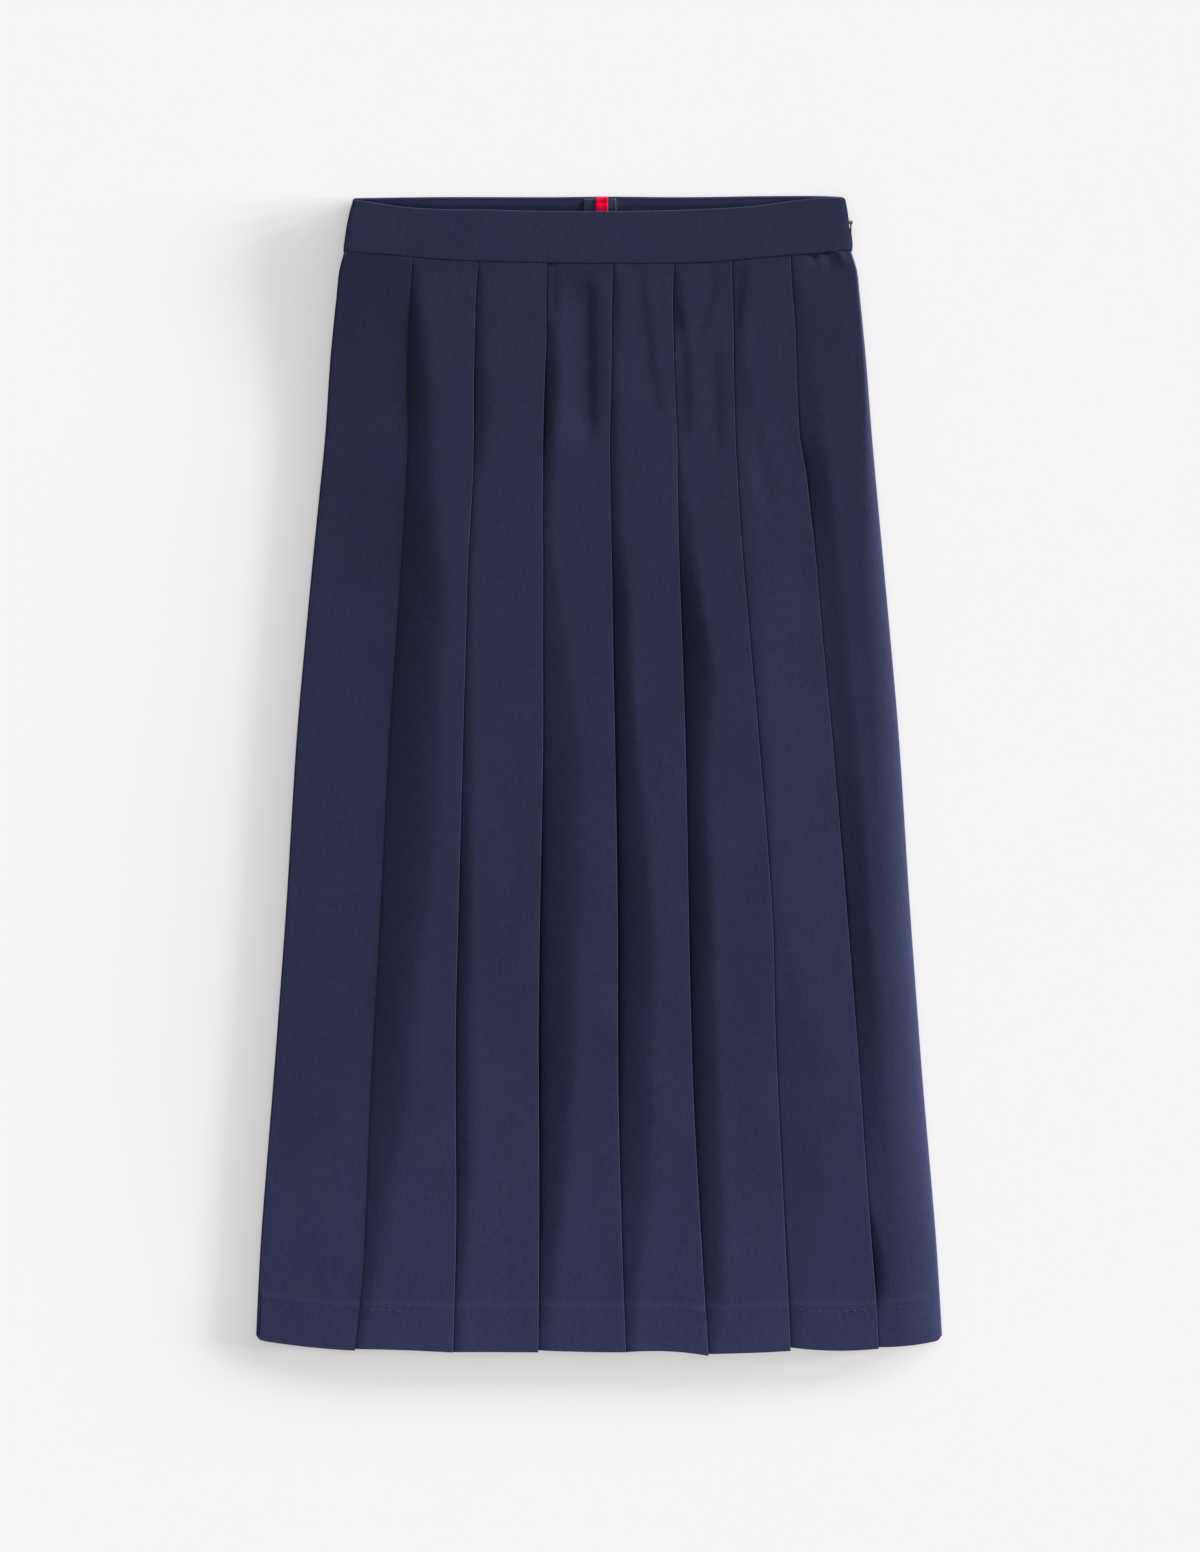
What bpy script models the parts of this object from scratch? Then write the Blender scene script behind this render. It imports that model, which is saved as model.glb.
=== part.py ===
"""Pleated midi skirt, laid flat on a surface with its front up.

One front and one back panel, each with seven knife pleats that all turn the same way round
the body, between two waistbands. The front band dips, so the inside of the back band shows
with its label patch and a small tab. A zip slider with a hanging pull sits in the right side
opening of the band.

Frame: the origin is the middle of the floor under the garment, +X to the right as the front
is looked at, +Y up to the waist, +Z up from the surface. Sizes are in millimetres and are
turned into metres when a mesh is made.
"""
import math
from collections import namedtuple

import bmesh
import bpy

MM = 0.001

# ---------------------------------------------------------------- driving sizes, millimetres
CLOTH = 1.0                 # wall of the skirt cloth
LAYER_GAP = 0.3             # air between two layers of a pleat
SEAM_GAP = 0.3              # air between two pieces that are sewn together
BAND_SEAM_GAP = 0.4         # air between a band's lower edge and the pleats sewn to it
PANEL_GAP = 0.4             # air between the back panel's stacks and the front panel
PLEAT_CLOTH = 110.0         # width of cloth that one knife pleat takes up
RISE_RUN = 16.0             # how far past a fold the next panel comes up to the top
HIDDEN_HEM_LIFT = 1.0       # the underlays end this much above the visible hem
BACK_HEM_LIFT = 2.0         # the back panel ends this much above the front one

LAYER_STEP = CLOTH + LAYER_GAP
TURN_RADIUS = LAYER_STEP / 2.0
TURN_REACH = TURN_RADIUS + CLOTH / 2.0      # from a turn's centre to its outer side

# heights of the middle of the wall, from the surface up
BACK_OUTER = CLOTH / 2.0
BACK_MIDDLE = BACK_OUTER + LAYER_STEP
BACK_INNER = BACK_MIDDLE + LAYER_STEP
FRONT_INNER = BACK_INNER + CLOTH + PANEL_GAP
FRONT_MIDDLE = FRONT_INNER + LAYER_STEP
FRONT_OUTER = FRONT_MIDDLE + LAYER_STEP
LEFT_FOLD_TOP = 2.8         # upper layer where the back wraps round the left side
LEFT_SEAM_INSET = 2.5       # the left side seam lies this far inside the fold
RIGHT_FOLD_TOP = 3.3        # upper layer where front and back meet on the right
RIGHT_TURN = 1.0            # radius of the quarter turns on either side of the right seam
RIGHT_SEAM = (RIGHT_FOLD_TOP + BACK_OUTER) / 2.0

BAND = 2.4                  # folded waistband
BAND_MIDDLE_LIFT = 5.6      # underside of the front band over the pleats
BAND_SIDE_TAPER = 32.0      # the front band comes down to the back one over this length
BAND_EDGE_ROUND = 0.45
BAND_COLUMNS = 16           # stretches along a band, the outer ones split up further
ZIP_LIP = 3.0               # length of the thin lips along the zip opening
ZIP_LIP_THICKNESS = 1.15
ZIP_LIP_SLOPE = 1.2

LABEL = (23.0, 24.0, 1.0)   # width, length, thickness of the label patch
LABEL_CENTRE_X = 0.6
LABEL_BELOW_TOP = 1.0       # from the back band's top edge down to the patch
TAB = (8.6, 15.0, 1.0)      # width, length, thickness of the red tab
TAB_CENTRE_X = 2.0
TAB_BELOW_TOP = 0.2
PATCH_EDGE_ROUND = 0.2

# Where the front panel comes down on either side of its stacks.
STACK_CLEAR = 1.5           # past the back's first stack, seen from the front
LAST_FOLD_CLEAR = 2.0       # past the front's last fold

# Sections across the skirt: the height above the origin, the left outline, the edge of each
# pleat's fold and the right outline.
Section = namedtuple("Section", "height left f1 f2 f3 f4 f5 f6 f7 right")
SECTIONS = [
    Section(370, -182.4, -133.6, -86.5, -37.2, 9.6, 53.6, 95.1, 137.3, 180.4),
    Section(340, -187.5, -136.0, -88.4, -37.8, 9.2, 52.6, 95.7, 138.7, 185.8),
    Section(290, -192.6, -138.2, -89.5, -38.9, 8.4, 53.5, 96.0, 141.1, 191.2),
    Section(240, -195.9, -137.6, -89.7, -40.0, 7.7, 56.1, 97.4, 143.7, 195.1),
    Section(150, -204.8, -142.4, -93.7, -40.0, 9.0, 57.5, 103.1, 155.0, 203.2),
    Section(20, -216.5, -151.2, -97.4, -40.2, 11.4, 61.7, 114.4, 167.1, 214.7),
    Section(-100, -223.9, -157.2, -100.4, -42.5, 13.2, 63.8, 123.6, 177.1, 222.4),
    Section(-230, -233.4, -164.4, -102.4, -43.1, 13.7, 67.4, 127.6, 187.4, 231.9),
    Section(-340, -242.0, -168.9, -102.5, -43.0, 16.4, 73.5, 133.3, 195.3, 241.2),
    Section(-410, -245.5, -175.3, -104.5, -43.5, 18.7, 78.1, 136.6, 200.3, 245.5),
]
TOP_HEIGHT = SECTIONS[0].height
HEM_HEIGHT = SECTIONS[-1].height

# The hem of each visible panel: its height at the left edge, in the middle and at the right.
Hem = namedtuple("Hem", "left middle right")
HEMS = [
    Hem(-400.5, -409.0, -411.2),
    Hem(-410.0, -410.8, -412.5),
    Hem(-412.2, -412.2, -412.4),
    Hem(-410.9, -412.0, -412.3),
    Hem(-412.3, -411.8, -414.3),
    Hem(-413.6, -412.8, -411.4),
    Hem(-408.9, -411.2, -409.8),
    Hem(-408.7, -407.0, -399.8),
]
PLEATS = len(HEMS) - 1

# The line where the band is sewn to the pleats, and the top edges of the two bands.
Line = namedtuple("Line", "x y")
BAND_SEAM = [Line(-182, 375.0), Line(-157, 372.8), Line(-114, 369.2), Line(-70, 367.3),
             Line(-28, 366.4), Line(30, 366.1), Line(66, 366.7), Line(92, 368.2),
             Line(127, 371.6), Line(161, 374.0), Line(181, 375.4)]
FRONT_TOP = [Line(-182, 412.2), Line(-165, 410.6), Line(-139, 407.0), Line(-114, 405.0),
             Line(-36, 404.8), Line(66, 404.8), Line(109, 407.0), Line(135, 410.5),
             Line(160, 413.2), Line(181, 413.2)]
BACK_TOP = [Line(-182, 412.9), Line(-110, 413.4), Line(-35, 413.1), Line(5, 413.7),
            Line(60, 413.1), Line(160, 414.3), Line(181, 413.5)]
BandSide = namedtuple("BandSide", "y left right")
BAND_SIDES = [BandSide(413.2, -176.4, 176.3), BandSide(404.4, -178.7, 177.9),
              BandSide(395.8, -180.3, 178.8), BandSide(387.2, -181.5, 180.6),
              BandSide(381.0, -182.3, 181.4), BandSide(375.0, -182.7, 181.0)]

# The zip: the ring's hole is the axis on which the pull hangs.
PIVOT = (180.2, 395.85, BAND + SEAM_GAP / 2.0)
RING_RADIUS = 1.1
RING_WIRE = 0.35
SLIDER = (2.1, 6.0, 2.0)    # out of the garment, along the zip, across the zip
SLIDER_OUTER_X = 178.8
SLIDER_TAPER = 0.72         # lower end against the shoulders
SLIDER_EDGE_ROUND = 0.3
PULL_THICKNESS = 0.86
PULL_HALF_WIDTH = 1.1
PULL_WINDOW_HALF_WIDTH = 0.65
PULL_BAR = 0.35             # half the bar that runs through the ring
PULL_WINDOW_END = 1.8
PULL_LENGTH = 15.5
PULL_CORNER = 0.3

NAVY = (0.025, 0.027, 0.061, 1.0)
LABEL_NAVY = (0.028, 0.033, 0.058, 1.0)
RED = (0.62, 0.006, 0.036, 1.0)
ZIP_METAL = (0.030, 0.031, 0.045, 1.0)


# ---------------------------------------------------------------- small helpers
def smooth_step(t):
    """0 to 1 with level ends."""
    t = min(max(t, 0.0), 1.0)
    return t * t * (3.0 - 2.0 * t)


def mix(a, b, t):
    return a + (b - a) * t


def along(table, key, value, at):
    """Value of a named column where another named column reaches `at`, on a smooth curve."""
    rows = sorted(table, key=lambda row: getattr(row, key))
    xs = [getattr(row, key) for row in rows]
    ys = [getattr(row, value) for row in rows]
    if at <= xs[0]:
        return ys[0]
    if at >= xs[-1]:
        return ys[-1]
    i = max(j for j in range(len(xs) - 1) if xs[j] <= at)
    before = max(i - 1, 0)
    after = min(i + 2, len(xs) - 1)
    width = xs[i + 1] - xs[i]
    slope_in = (ys[i + 1] - ys[before]) / (xs[i + 1] - xs[before]) * width
    slope_out = (ys[after] - ys[i]) / (xs[after] - xs[i]) * width
    t = (at - xs[i]) / width
    rise = ys[i + 1] - ys[i]
    return (ys[i] + slope_in * t * (1.0 - t) ** 2 + rise * t * t * (3.0 - 2.0 * t)
            - slope_out * t * t * (1.0 - t))


def hem_height(panel, t):
    """Height of a visible panel's hem at t from its left edge to its right one."""
    hem = HEMS[panel]
    t = min(max(t, 0.0), 1.0)
    left_share = (1.0 - t) * (1.0 - 2.0 * t)
    middle_share = 4.0 * t * (1.0 - t)
    right_share = t * (2.0 * t - 1.0)
    return hem.left * left_share + hem.middle * middle_share + hem.right * right_share


def turn(centre_x, low, high, outward, upward):
    """Half circle between two layers, bulging to +X if outward is 1, to -X if it is -1."""
    steps = 4
    middle = (low + high) / 2.0
    radius = abs(high - low) / 2.0
    points = []
    for i in range(steps + 1):
        angle = math.pi * i / steps
        z = middle - upward * radius * math.cos(angle)
        points.append((centre_x + outward * radius * math.sin(angle), z))
    return points


def make_material(name, colour, roughness, metallic=0.0):
    material = bpy.data.materials.new(name)
    material.use_nodes = True
    shader = material.node_tree.nodes["Principled BSDF"]
    shader.inputs["Base Color"].default_value = colour
    shader.inputs["Roughness"].default_value = roughness
    shader.inputs["Metallic"].default_value = metallic
    return material


def add_object(name, mesh_or_curve, material, collection):
    obj = bpy.data.objects.new(name, mesh_or_curve)
    mesh_or_curve.materials.append(material)
    collection.objects.link(obj)
    return obj


def cloth_object(name, rows, thickness, offset, material, collection):
    """Open surface through rows of points, given a wall by Solidify."""
    mesh = bpy.data.meshes.new(name)
    bm = bmesh.new()
    grid = [[bm.verts.new([c * MM for c in point]) for point in row] for row in rows]
    for upper, lower in zip(grid, grid[1:]):
        for i in range(len(upper) - 1):
            bm.faces.new((upper[i], lower[i], lower[i + 1], upper[i + 1]))
    bm.to_mesh(mesh)
    bm.free()
    obj = add_object(name, mesh, material, collection)
    wall = obj.modifiers.new("wall", "SOLIDIFY")
    wall.thickness = thickness * MM
    wall.offset = offset
    wall.use_even_offset = True
    return obj


# ---------------------------------------------------------------- the pleated panels
FlatPoint = namedtuple("FlatPoint", "x z hem")


def pleat_run(folds, outer, middle, inner, first_width):
    """Middle line of the wall through all pleats, seen from the panel's own outer side.

    Each panel runs to its fold, turns back as an underlay, turns again and runs on under the
    fold, then comes up to the outer level as the next panel.
    """
    upward = 1.0 if middle > outer else -1.0
    widths = [first_width] + [right - left for left, right in zip(folds, folds[1:])]
    underlays = [(PLEAT_CLOTH - width) / 2.0 for width in widths]
    points = []
    for k, (fold, underlay) in enumerate(zip(folds, underlays)):
        panel_end = hem_height(k, 1.0)
        next_start = hem_height(k + 1, 0.0)
        for x, z in turn(fold - TURN_REACH, outer, middle, 1.0, upward):
            points.append(FlatPoint(x, z, panel_end))
        back_turn = turn(fold - underlay + TURN_REACH, middle, inner, -1.0, upward)
        for i, (x, z) in enumerate(back_turn):
            hem = mix(panel_end, next_start, i / (len(back_turn) - 1))
            points.append(FlatPoint(x, z, hem + HIDDEN_HEM_LIFT))
        rise_start = fold + CLOTH / 2.0
        points.append(FlatPoint(rise_start, inner, next_start))
        if k + 1 < len(folds):
            next_stack = folds[k + 1] - underlays[k + 1]
            rise_end = min(next_stack, rise_start + RISE_RUN)
            next_width = folds[k + 1] - fold
            for t in (0.25, 0.5, 0.75, 1.0):
                x = mix(rise_start, rise_end, t)
                hem = hem_height(k + 1, (x - fold) / next_width)
                points.append(FlatPoint(x, mix(inner, outer, smooth_step(t)), hem))
            x = mix(rise_end, folds[k + 1] - TURN_REACH, 0.5)
            hem = hem_height(k + 1, (x - fold) / next_width)
            points.append(FlatPoint(x, outer, hem))
    return points, underlays


def front_line(section):
    """Front panel from the left side seam to the right one."""
    folds = list(section[2:9])
    first_width = folds[0] - section.left
    pleats, underlays = pleat_run(folds, FRONT_OUTER, FRONT_MIDDLE, FRONT_INNER, first_width)
    seam_x = section.left + LEFT_SEAM_INSET + SEAM_GAP / 2.0
    stack_x = folds[0] - underlays[0] - CLOTH / 2.0
    points = []
    for t in (0.0, 0.25, 0.5, 0.75, 1.0):
        x = mix(seam_x, stack_x, t)
        z = mix(LEFT_FOLD_TOP, FRONT_OUTER, smooth_step(t))
        points.append(FlatPoint(x, z, hem_height(0, (x - section.left) / first_width)))
    points += pleats

    # the last panel comes down over the back's first stack to the right side seam
    last_width = section.right - folds[-1]
    taper_x = max(-folds[0] + underlays[0] + STACK_CLEAR, folds[-1] + LAST_FOLD_CLEAR)
    edge_x = section.right - CLOTH / 2.0
    for t in (0.0, 0.3, 0.6, 0.8, 1.0):
        x = mix(taper_x, edge_x - RIGHT_TURN, t)
        z = mix(FRONT_INNER, RIGHT_FOLD_TOP, t * t)
        points.append(FlatPoint(x, z, hem_height(PLEATS, (x - folds[-1]) / last_width)))
    corner_hem = hem_height(PLEATS, 1.0)
    corner = RIGHT_TURN * (1.0 - math.sqrt(0.5))
    points.append(FlatPoint(edge_x - corner, RIGHT_FOLD_TOP - corner, corner_hem))
    points.append(FlatPoint(edge_x, RIGHT_FOLD_TOP - RIGHT_TURN, corner_hem))
    points.append(FlatPoint(edge_x, RIGHT_SEAM + SEAM_GAP / 2.0, corner_hem))
    return points


def back_line(section):
    """Back panel from the right side seam, round the left fold, to the left seam on top.

    It is worked out as seen from behind, where the pleats run as they do on the front, and
    then mirrored.
    """
    folds = list(section[2:9])
    left = -section.right
    right = -section.left
    first_width = folds[0] - left
    pleats, _ = pleat_run(folds, BACK_OUTER, BACK_MIDDLE, BACK_INNER, first_width)
    points = []

    # right side seam and the quarter turn down to the surface
    edge_x = left + CLOTH / 2.0
    corner = RIGHT_TURN * (1.0 - math.sqrt(0.5))
    first_hem = hem_height(0, 0.0)
    points.append(FlatPoint(edge_x, RIGHT_SEAM - SEAM_GAP / 2.0, first_hem))
    points.append(FlatPoint(edge_x, BACK_OUTER + RIGHT_TURN, first_hem))
    points.append(FlatPoint(edge_x + corner, BACK_OUTER + corner, first_hem))
    for t in (0.0, 0.35, 0.7):
        x = mix(edge_x + RIGHT_TURN, folds[0] - TURN_REACH, t)
        points.append(FlatPoint(x, BACK_OUTER, hem_height(0, (x - left) / first_width)))
    points += pleats

    # past the last fold down to the surface, then up and over the left fold
    last_width = right - folds[-1]
    rise_start = folds[-1] + CLOTH / 2.0
    for t in (0.25, 0.5, 0.75, 1.0):
        x = rise_start + RISE_RUN * t
        z = mix(BACK_INNER, BACK_OUTER, smooth_step(t))
        points.append(FlatPoint(x, z, hem_height(PLEATS, (x - folds[-1]) / last_width)))
    fold_radius = (LEFT_FOLD_TOP - BACK_OUTER) / 2.0
    centre_x = right - CLOTH / 2.0 - fold_radius
    corner_hem = hem_height(PLEATS, 1.0)
    for x, z in turn(centre_x, BACK_OUTER, LEFT_FOLD_TOP, 1.0, 1.0):
        points.append(FlatPoint(x, z, corner_hem))
    seam_x = right - LEFT_SEAM_INSET + SEAM_GAP / 2.0
    points.append(FlatPoint(seam_x, LEFT_FOLD_TOP, corner_hem))
    return [FlatPoint(-p.x, p.z, p.hem + BACK_HEM_LIFT) for p in points]


def pleated_panel(name, line_of, material, collection):
    rows = []
    for section in SECTIONS:
        share = (section.height - HEM_HEIGHT) / (TOP_HEIGHT - HEM_HEIGHT)
        row = []
        for point in line_of(section):
            top = along(BAND_SEAM, "x", "y", point.x) - BAND_SEAM_GAP
            row.append((point.x, mix(point.hem, top, share), point.z))
        rows.append(row)
    return cloth_object(name, rows, CLOTH, 0.0, material, collection)


# ---------------------------------------------------------------- the waistbands
def band_grid(top_line, outer_height):
    """Outer face of a band as rows of points, the rows running from its top edge down."""
    lowest, highest = BAND_SIDES[-1].y, BAND_SIDES[0].y
    inner_columns = [0.02, 0.045, 0.07, 0.1]
    inner_columns += [i / BAND_COLUMNS for i in range(2, BAND_COLUMNS - 1)]
    inner_columns += [0.9, 0.93, 0.955]
    rows = []
    for share in (1.0, 0.75, 0.5, 0.25, 0.0):
        row_height = mix(lowest, highest, share)
        left = along(BAND_SIDES, "y", "left", row_height)
        right = along(BAND_SIDES, "y", "right", row_height)
        xs = [left] + [mix(left, right, column) for column in inner_columns]
        xs += [right - ZIP_LIP - ZIP_LIP_SLOPE, right - ZIP_LIP, right - ZIP_LIP / 3.0, right]
        row = []
        for x in xs:
            seam_y = along(BAND_SEAM, "x", "y", x)
            top_y = along(top_line, "x", "y", x)
            row.append((x, mix(seam_y, top_y, share), outer_height(x - left, right - x)))
        rows.append(row)
    return rows


def front_band_height(from_left, from_right):
    """Outer face of the front band: over the pleats in the middle, down at the sides."""
    side = smooth_step(min(from_left, from_right) / BAND_SIDE_TAPER)
    return mix(2.0 * BAND + SEAM_GAP, BAND_MIDDLE_LIFT + BAND, side)


def back_band_height(from_left, from_right):
    """Outer face of the back band, flat on the surface."""
    return 0.0


def waistband(name, top_line, outer_height, offset, material, collection):
    rows = band_grid(top_line, outer_height)
    obj = cloth_object(name, rows, BAND, offset, material, collection)
    wall = obj.modifiers["wall"]

    # the lips along the zip are thinner, so that the slider has room between them
    full = obj.vertex_groups.new(name="full_wall")
    columns = len(rows[0])
    lip_columns = 3
    share = ZIP_LIP_THICKNESS / BAND
    for index in range(len(rows) * columns):
        in_lip = index % columns >= columns - lip_columns
        full.add([index], share if in_lip else 1.0, "REPLACE")
    wall.vertex_group = "full_wall"

    edge = obj.modifiers.new("folded_edges", "BEVEL")
    edge.width = BAND_EDGE_ROUND * MM
    edge.segments = 1
    edge.limit_method = "ANGLE"
    edge.angle_limit = math.radians(60.0)
    return obj


def patch(name, size, centre_x, top_y, bottom_z, material, collection):
    """Small rectangle of cloth that lies on the inside of the back band."""
    width, length, thickness = size
    xs = [centre_x + width * s for s in (-0.5, -0.17, 0.17, 0.5)]
    ys = [top_y - length * s for s in (0.0, 0.5, 1.0)]
    rows = [[(x, y, bottom_z + thickness / 2.0) for x in xs] for y in ys]
    obj = cloth_object(name, rows, thickness, 0.0, material, collection)
    edge = obj.modifiers.new("edges", "BEVEL")
    edge.width = PATCH_EDGE_ROUND * MM
    edge.segments = 1
    edge.limit_method = "ANGLE"
    edge.angle_limit = math.radians(60.0)
    return obj


# ---------------------------------------------------------------- the zip
def ring_cutter(collection):
    """The ring that is joined to the slider."""
    bpy.ops.mesh.primitive_torus_add(
        location=[c * MM for c in PIVOT], major_radius=RING_RADIUS * MM,
        minor_radius=RING_WIRE * MM, major_segments=20, minor_segments=8)
    ring = bpy.context.object
    ring.name = "ring_cutter"
    ring.display_type = "WIRE"
    ring.hide_render = True
    for held_in in list(ring.users_collection):
        held_in.objects.unlink(ring)
    collection.objects.link(ring)
    return ring


def zip_slider(material, collection, cutters):
    """Slider body between the lips, with the ring that carries the pull."""
    depth, length, width = SLIDER
    mesh = bpy.data.meshes.new("zip_slider")
    bm = bmesh.new()
    bmesh.ops.create_cube(bm, size=1.0)
    for vert in bm.verts:
        taper = SLIDER_TAPER if vert.co.y < 0.0 else 1.0
        vert.co.x *= depth * MM
        vert.co.y *= length * MM
        vert.co.z *= width * taper * MM
    bm.to_mesh(mesh)
    bm.free()
    slider = add_object("zip_slider", mesh, material, collection)
    slider.location = [c * MM for c in (SLIDER_OUTER_X - depth / 2.0, PIVOT[1], PIVOT[2])]
    edge = slider.modifiers.new("edges", "BEVEL")
    edge.width = SLIDER_EDGE_ROUND * MM
    edge.segments = 2
    join = slider.modifiers.new("ring", "BOOLEAN")
    join.operation = "UNION"
    join.object = ring_cutter(cutters)
    return slider


def zip_pull(material, collection):
    """Flat pull with a window, hanging from the ring, its bar on the joint's axis."""
    curve = bpy.data.curves.new("zip_pull", "CURVE")
    curve.dimensions = "2D"
    curve.fill_mode = "BOTH"
    curve.extrude = PULL_THICKNESS / 2.0 * MM
    w = PULL_HALF_WIDTH
    bar = PULL_BAR
    corner = PULL_CORNER
    round_start = PULL_LENGTH - w
    outline = [(-w + corner, bar), (-w, bar - corner), (-w, -round_start)]
    end_steps = 8
    for i in range(1, end_steps):
        angle = math.pi * i / end_steps
        outline.append((-w * math.cos(angle), -round_start - w * math.sin(angle)))
    outline += [(w, -round_start), (w, bar - corner), (w - corner, bar)]
    window_w = PULL_WINDOW_HALF_WIDTH
    window = [(-window_w, -bar), (window_w, -bar), (window_w, -PULL_WINDOW_END),
              (-window_w, -PULL_WINDOW_END)]
    for ring_of_points in (outline, window):
        spline = curve.splines.new("POLY")
        spline.points.add(len(ring_of_points) - 1)
        for point, (across, up) in zip(spline.points, ring_of_points):
            point.co = (across * MM, up * MM, 0.0, 1.0)
        spline.use_cyclic_u = True
    pull = add_object("zip_pull", curve, material, collection)
    pull.location = [c * MM for c in PIVOT]
    pull.rotation_euler = (0.0, math.radians(90.0), 0.0)
    return pull


# ---------------------------------------------------------------- the garment
def build():
    for obj in list(bpy.data.objects):
        bpy.data.objects.remove(obj, do_unlink=True)
    garment = bpy.data.collections.new("pleated_midi_skirt")
    cutters = bpy.data.collections.new("cutters")
    for collection in (garment, cutters):
        bpy.context.scene.collection.children.link(collection)

    navy = make_material("navy_cloth", NAVY, 0.85)
    label_navy = make_material("navy_label", LABEL_NAVY, 0.7)
    red = make_material("red_tab", RED, 0.65)
    metal = make_material("zip_metal", ZIP_METAL, 0.35, 0.6)

    pleated_panel("front_skirt", front_line, navy, garment)
    pleated_panel("back_skirt", back_line, navy, garment)
    waistband("front_waistband", FRONT_TOP, front_band_height, -1.0, navy, garment)
    waistband("back_waistband", BACK_TOP, back_band_height, 1.0, navy, garment)

    label_z = BAND + SEAM_GAP
    top_y = along(BACK_TOP, "x", "y", LABEL_CENTRE_X)
    label_y = top_y - LABEL_BELOW_TOP
    patch("label_patch", LABEL, LABEL_CENTRE_X, label_y, label_z, label_navy, garment)
    tab_y = top_y - TAB_BELOW_TOP
    tab_z = label_z + LABEL[2] + SEAM_GAP
    patch("red_tab", TAB, TAB_CENTRE_X, tab_y, tab_z, red, garment)

    zip_slider(metal, garment, cutters)
    zip_pull(metal, garment)


build()
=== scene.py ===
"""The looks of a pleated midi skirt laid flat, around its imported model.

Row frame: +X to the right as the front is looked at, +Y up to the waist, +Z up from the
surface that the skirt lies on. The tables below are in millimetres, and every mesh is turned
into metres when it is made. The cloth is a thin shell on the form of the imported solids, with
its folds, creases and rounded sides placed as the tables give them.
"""
import math
from collections import namedtuple

import bmesh
import bpy
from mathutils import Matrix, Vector, noise


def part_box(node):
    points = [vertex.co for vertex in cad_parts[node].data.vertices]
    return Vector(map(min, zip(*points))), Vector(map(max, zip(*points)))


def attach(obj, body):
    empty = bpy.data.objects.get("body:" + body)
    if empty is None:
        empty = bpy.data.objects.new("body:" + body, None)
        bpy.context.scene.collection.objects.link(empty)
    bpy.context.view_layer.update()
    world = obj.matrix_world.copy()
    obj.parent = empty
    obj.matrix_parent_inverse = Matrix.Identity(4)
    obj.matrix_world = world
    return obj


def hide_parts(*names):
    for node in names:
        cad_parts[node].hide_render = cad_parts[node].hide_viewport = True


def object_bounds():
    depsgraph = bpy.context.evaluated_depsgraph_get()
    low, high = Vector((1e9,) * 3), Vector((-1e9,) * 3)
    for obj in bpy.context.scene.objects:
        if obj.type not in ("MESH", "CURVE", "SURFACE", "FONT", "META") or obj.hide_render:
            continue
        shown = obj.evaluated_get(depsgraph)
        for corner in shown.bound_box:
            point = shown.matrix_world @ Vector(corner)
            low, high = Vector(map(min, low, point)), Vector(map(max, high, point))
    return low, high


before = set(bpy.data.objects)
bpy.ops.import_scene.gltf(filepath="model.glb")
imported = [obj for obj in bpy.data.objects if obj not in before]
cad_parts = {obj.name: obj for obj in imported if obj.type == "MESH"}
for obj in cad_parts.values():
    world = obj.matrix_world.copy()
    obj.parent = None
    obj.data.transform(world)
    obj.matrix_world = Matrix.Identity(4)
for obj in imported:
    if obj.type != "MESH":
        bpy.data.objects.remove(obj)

MM = 0.001
cad_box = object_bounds()

# ---------------------------------------------------------------- sizes of the cloth, mm
WALL = 0.3                  # thickness of the skirt's cloth
LAYER_STEP = 0.42           # from one layer of a pleat to the next
FOLD_ROUND = 0.1            # a pressed fold is this far from sharp
TURN_REACH = FOLD_ROUND + WALL / 2.0
PLEAT_CLOTH = 110.0         # cloth that one pleat takes up
LEAST_PANEL_START = 13.0    # bare stretch of a panel before the next pleat's layers start
SEAM_GAP = 0.15
HIDDEN_HEM_LIFT = 1.0       # the hem of hidden layers and of the back lies this much higher,
BACK_HEM_LIFT = 2.8         # so that it never shows below the visible one
HEM_DEPTH = 33.0            # height of the turned-up hem
HEM_STEP = 0.22             # how far the doubled hem stands proud
HEM_STEP_RUN = 3.0
HEM_RIDGE = 0.08            # mean height of the ridge along its upper edge
HEM_RIDGE_RUN = 1.6
FRONT_WAVE = 0.2            # soft waves in the front's cloth, and in the back's
BACK_WAVE = 0.3

STACK = 0.95                # least rise from a panel's foot to the top of the pleat's layers
FOOT_DROP = 0.95            # steep part of that rise
FOOT_REACH = 0.5            # length over which it dies away, for each mm of it
OVERHANG = 0.5              # it starts this far under the fold
RAMP_POWER = 1.5            # 1 is a straight slope up to a panel's crest, more is rounder
SHOULDER_HEM = 0.05         # a panel rounds down by this much before its fold
SHOULDER_TOP = 0.0
SHOULDER_RUN = 3.0
SHOULDER_COLUMN = 0.45      # share of that run where a column of points keeps its shape
LIFT_RUN = 20.0             # the last panel goes on rising over this width
SEWN_RUN = 13.0             # the pleats are held flat by the band, and free this far below it

BACK_OUTER = WALL / 2.0
BACK_FOOT = 1.15            # where a back panel comes out from behind a fold
BACK_ROUND = 1.2            # radius of the back's edge at the right side seam
BACK_RAMP_SHARE = 0.75      # width of a slope beside a back fold against the front's


def table(kind, rows):
    """Rows of bare numbers as named rows."""
    return [kind(*row) for row in rows]


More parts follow.
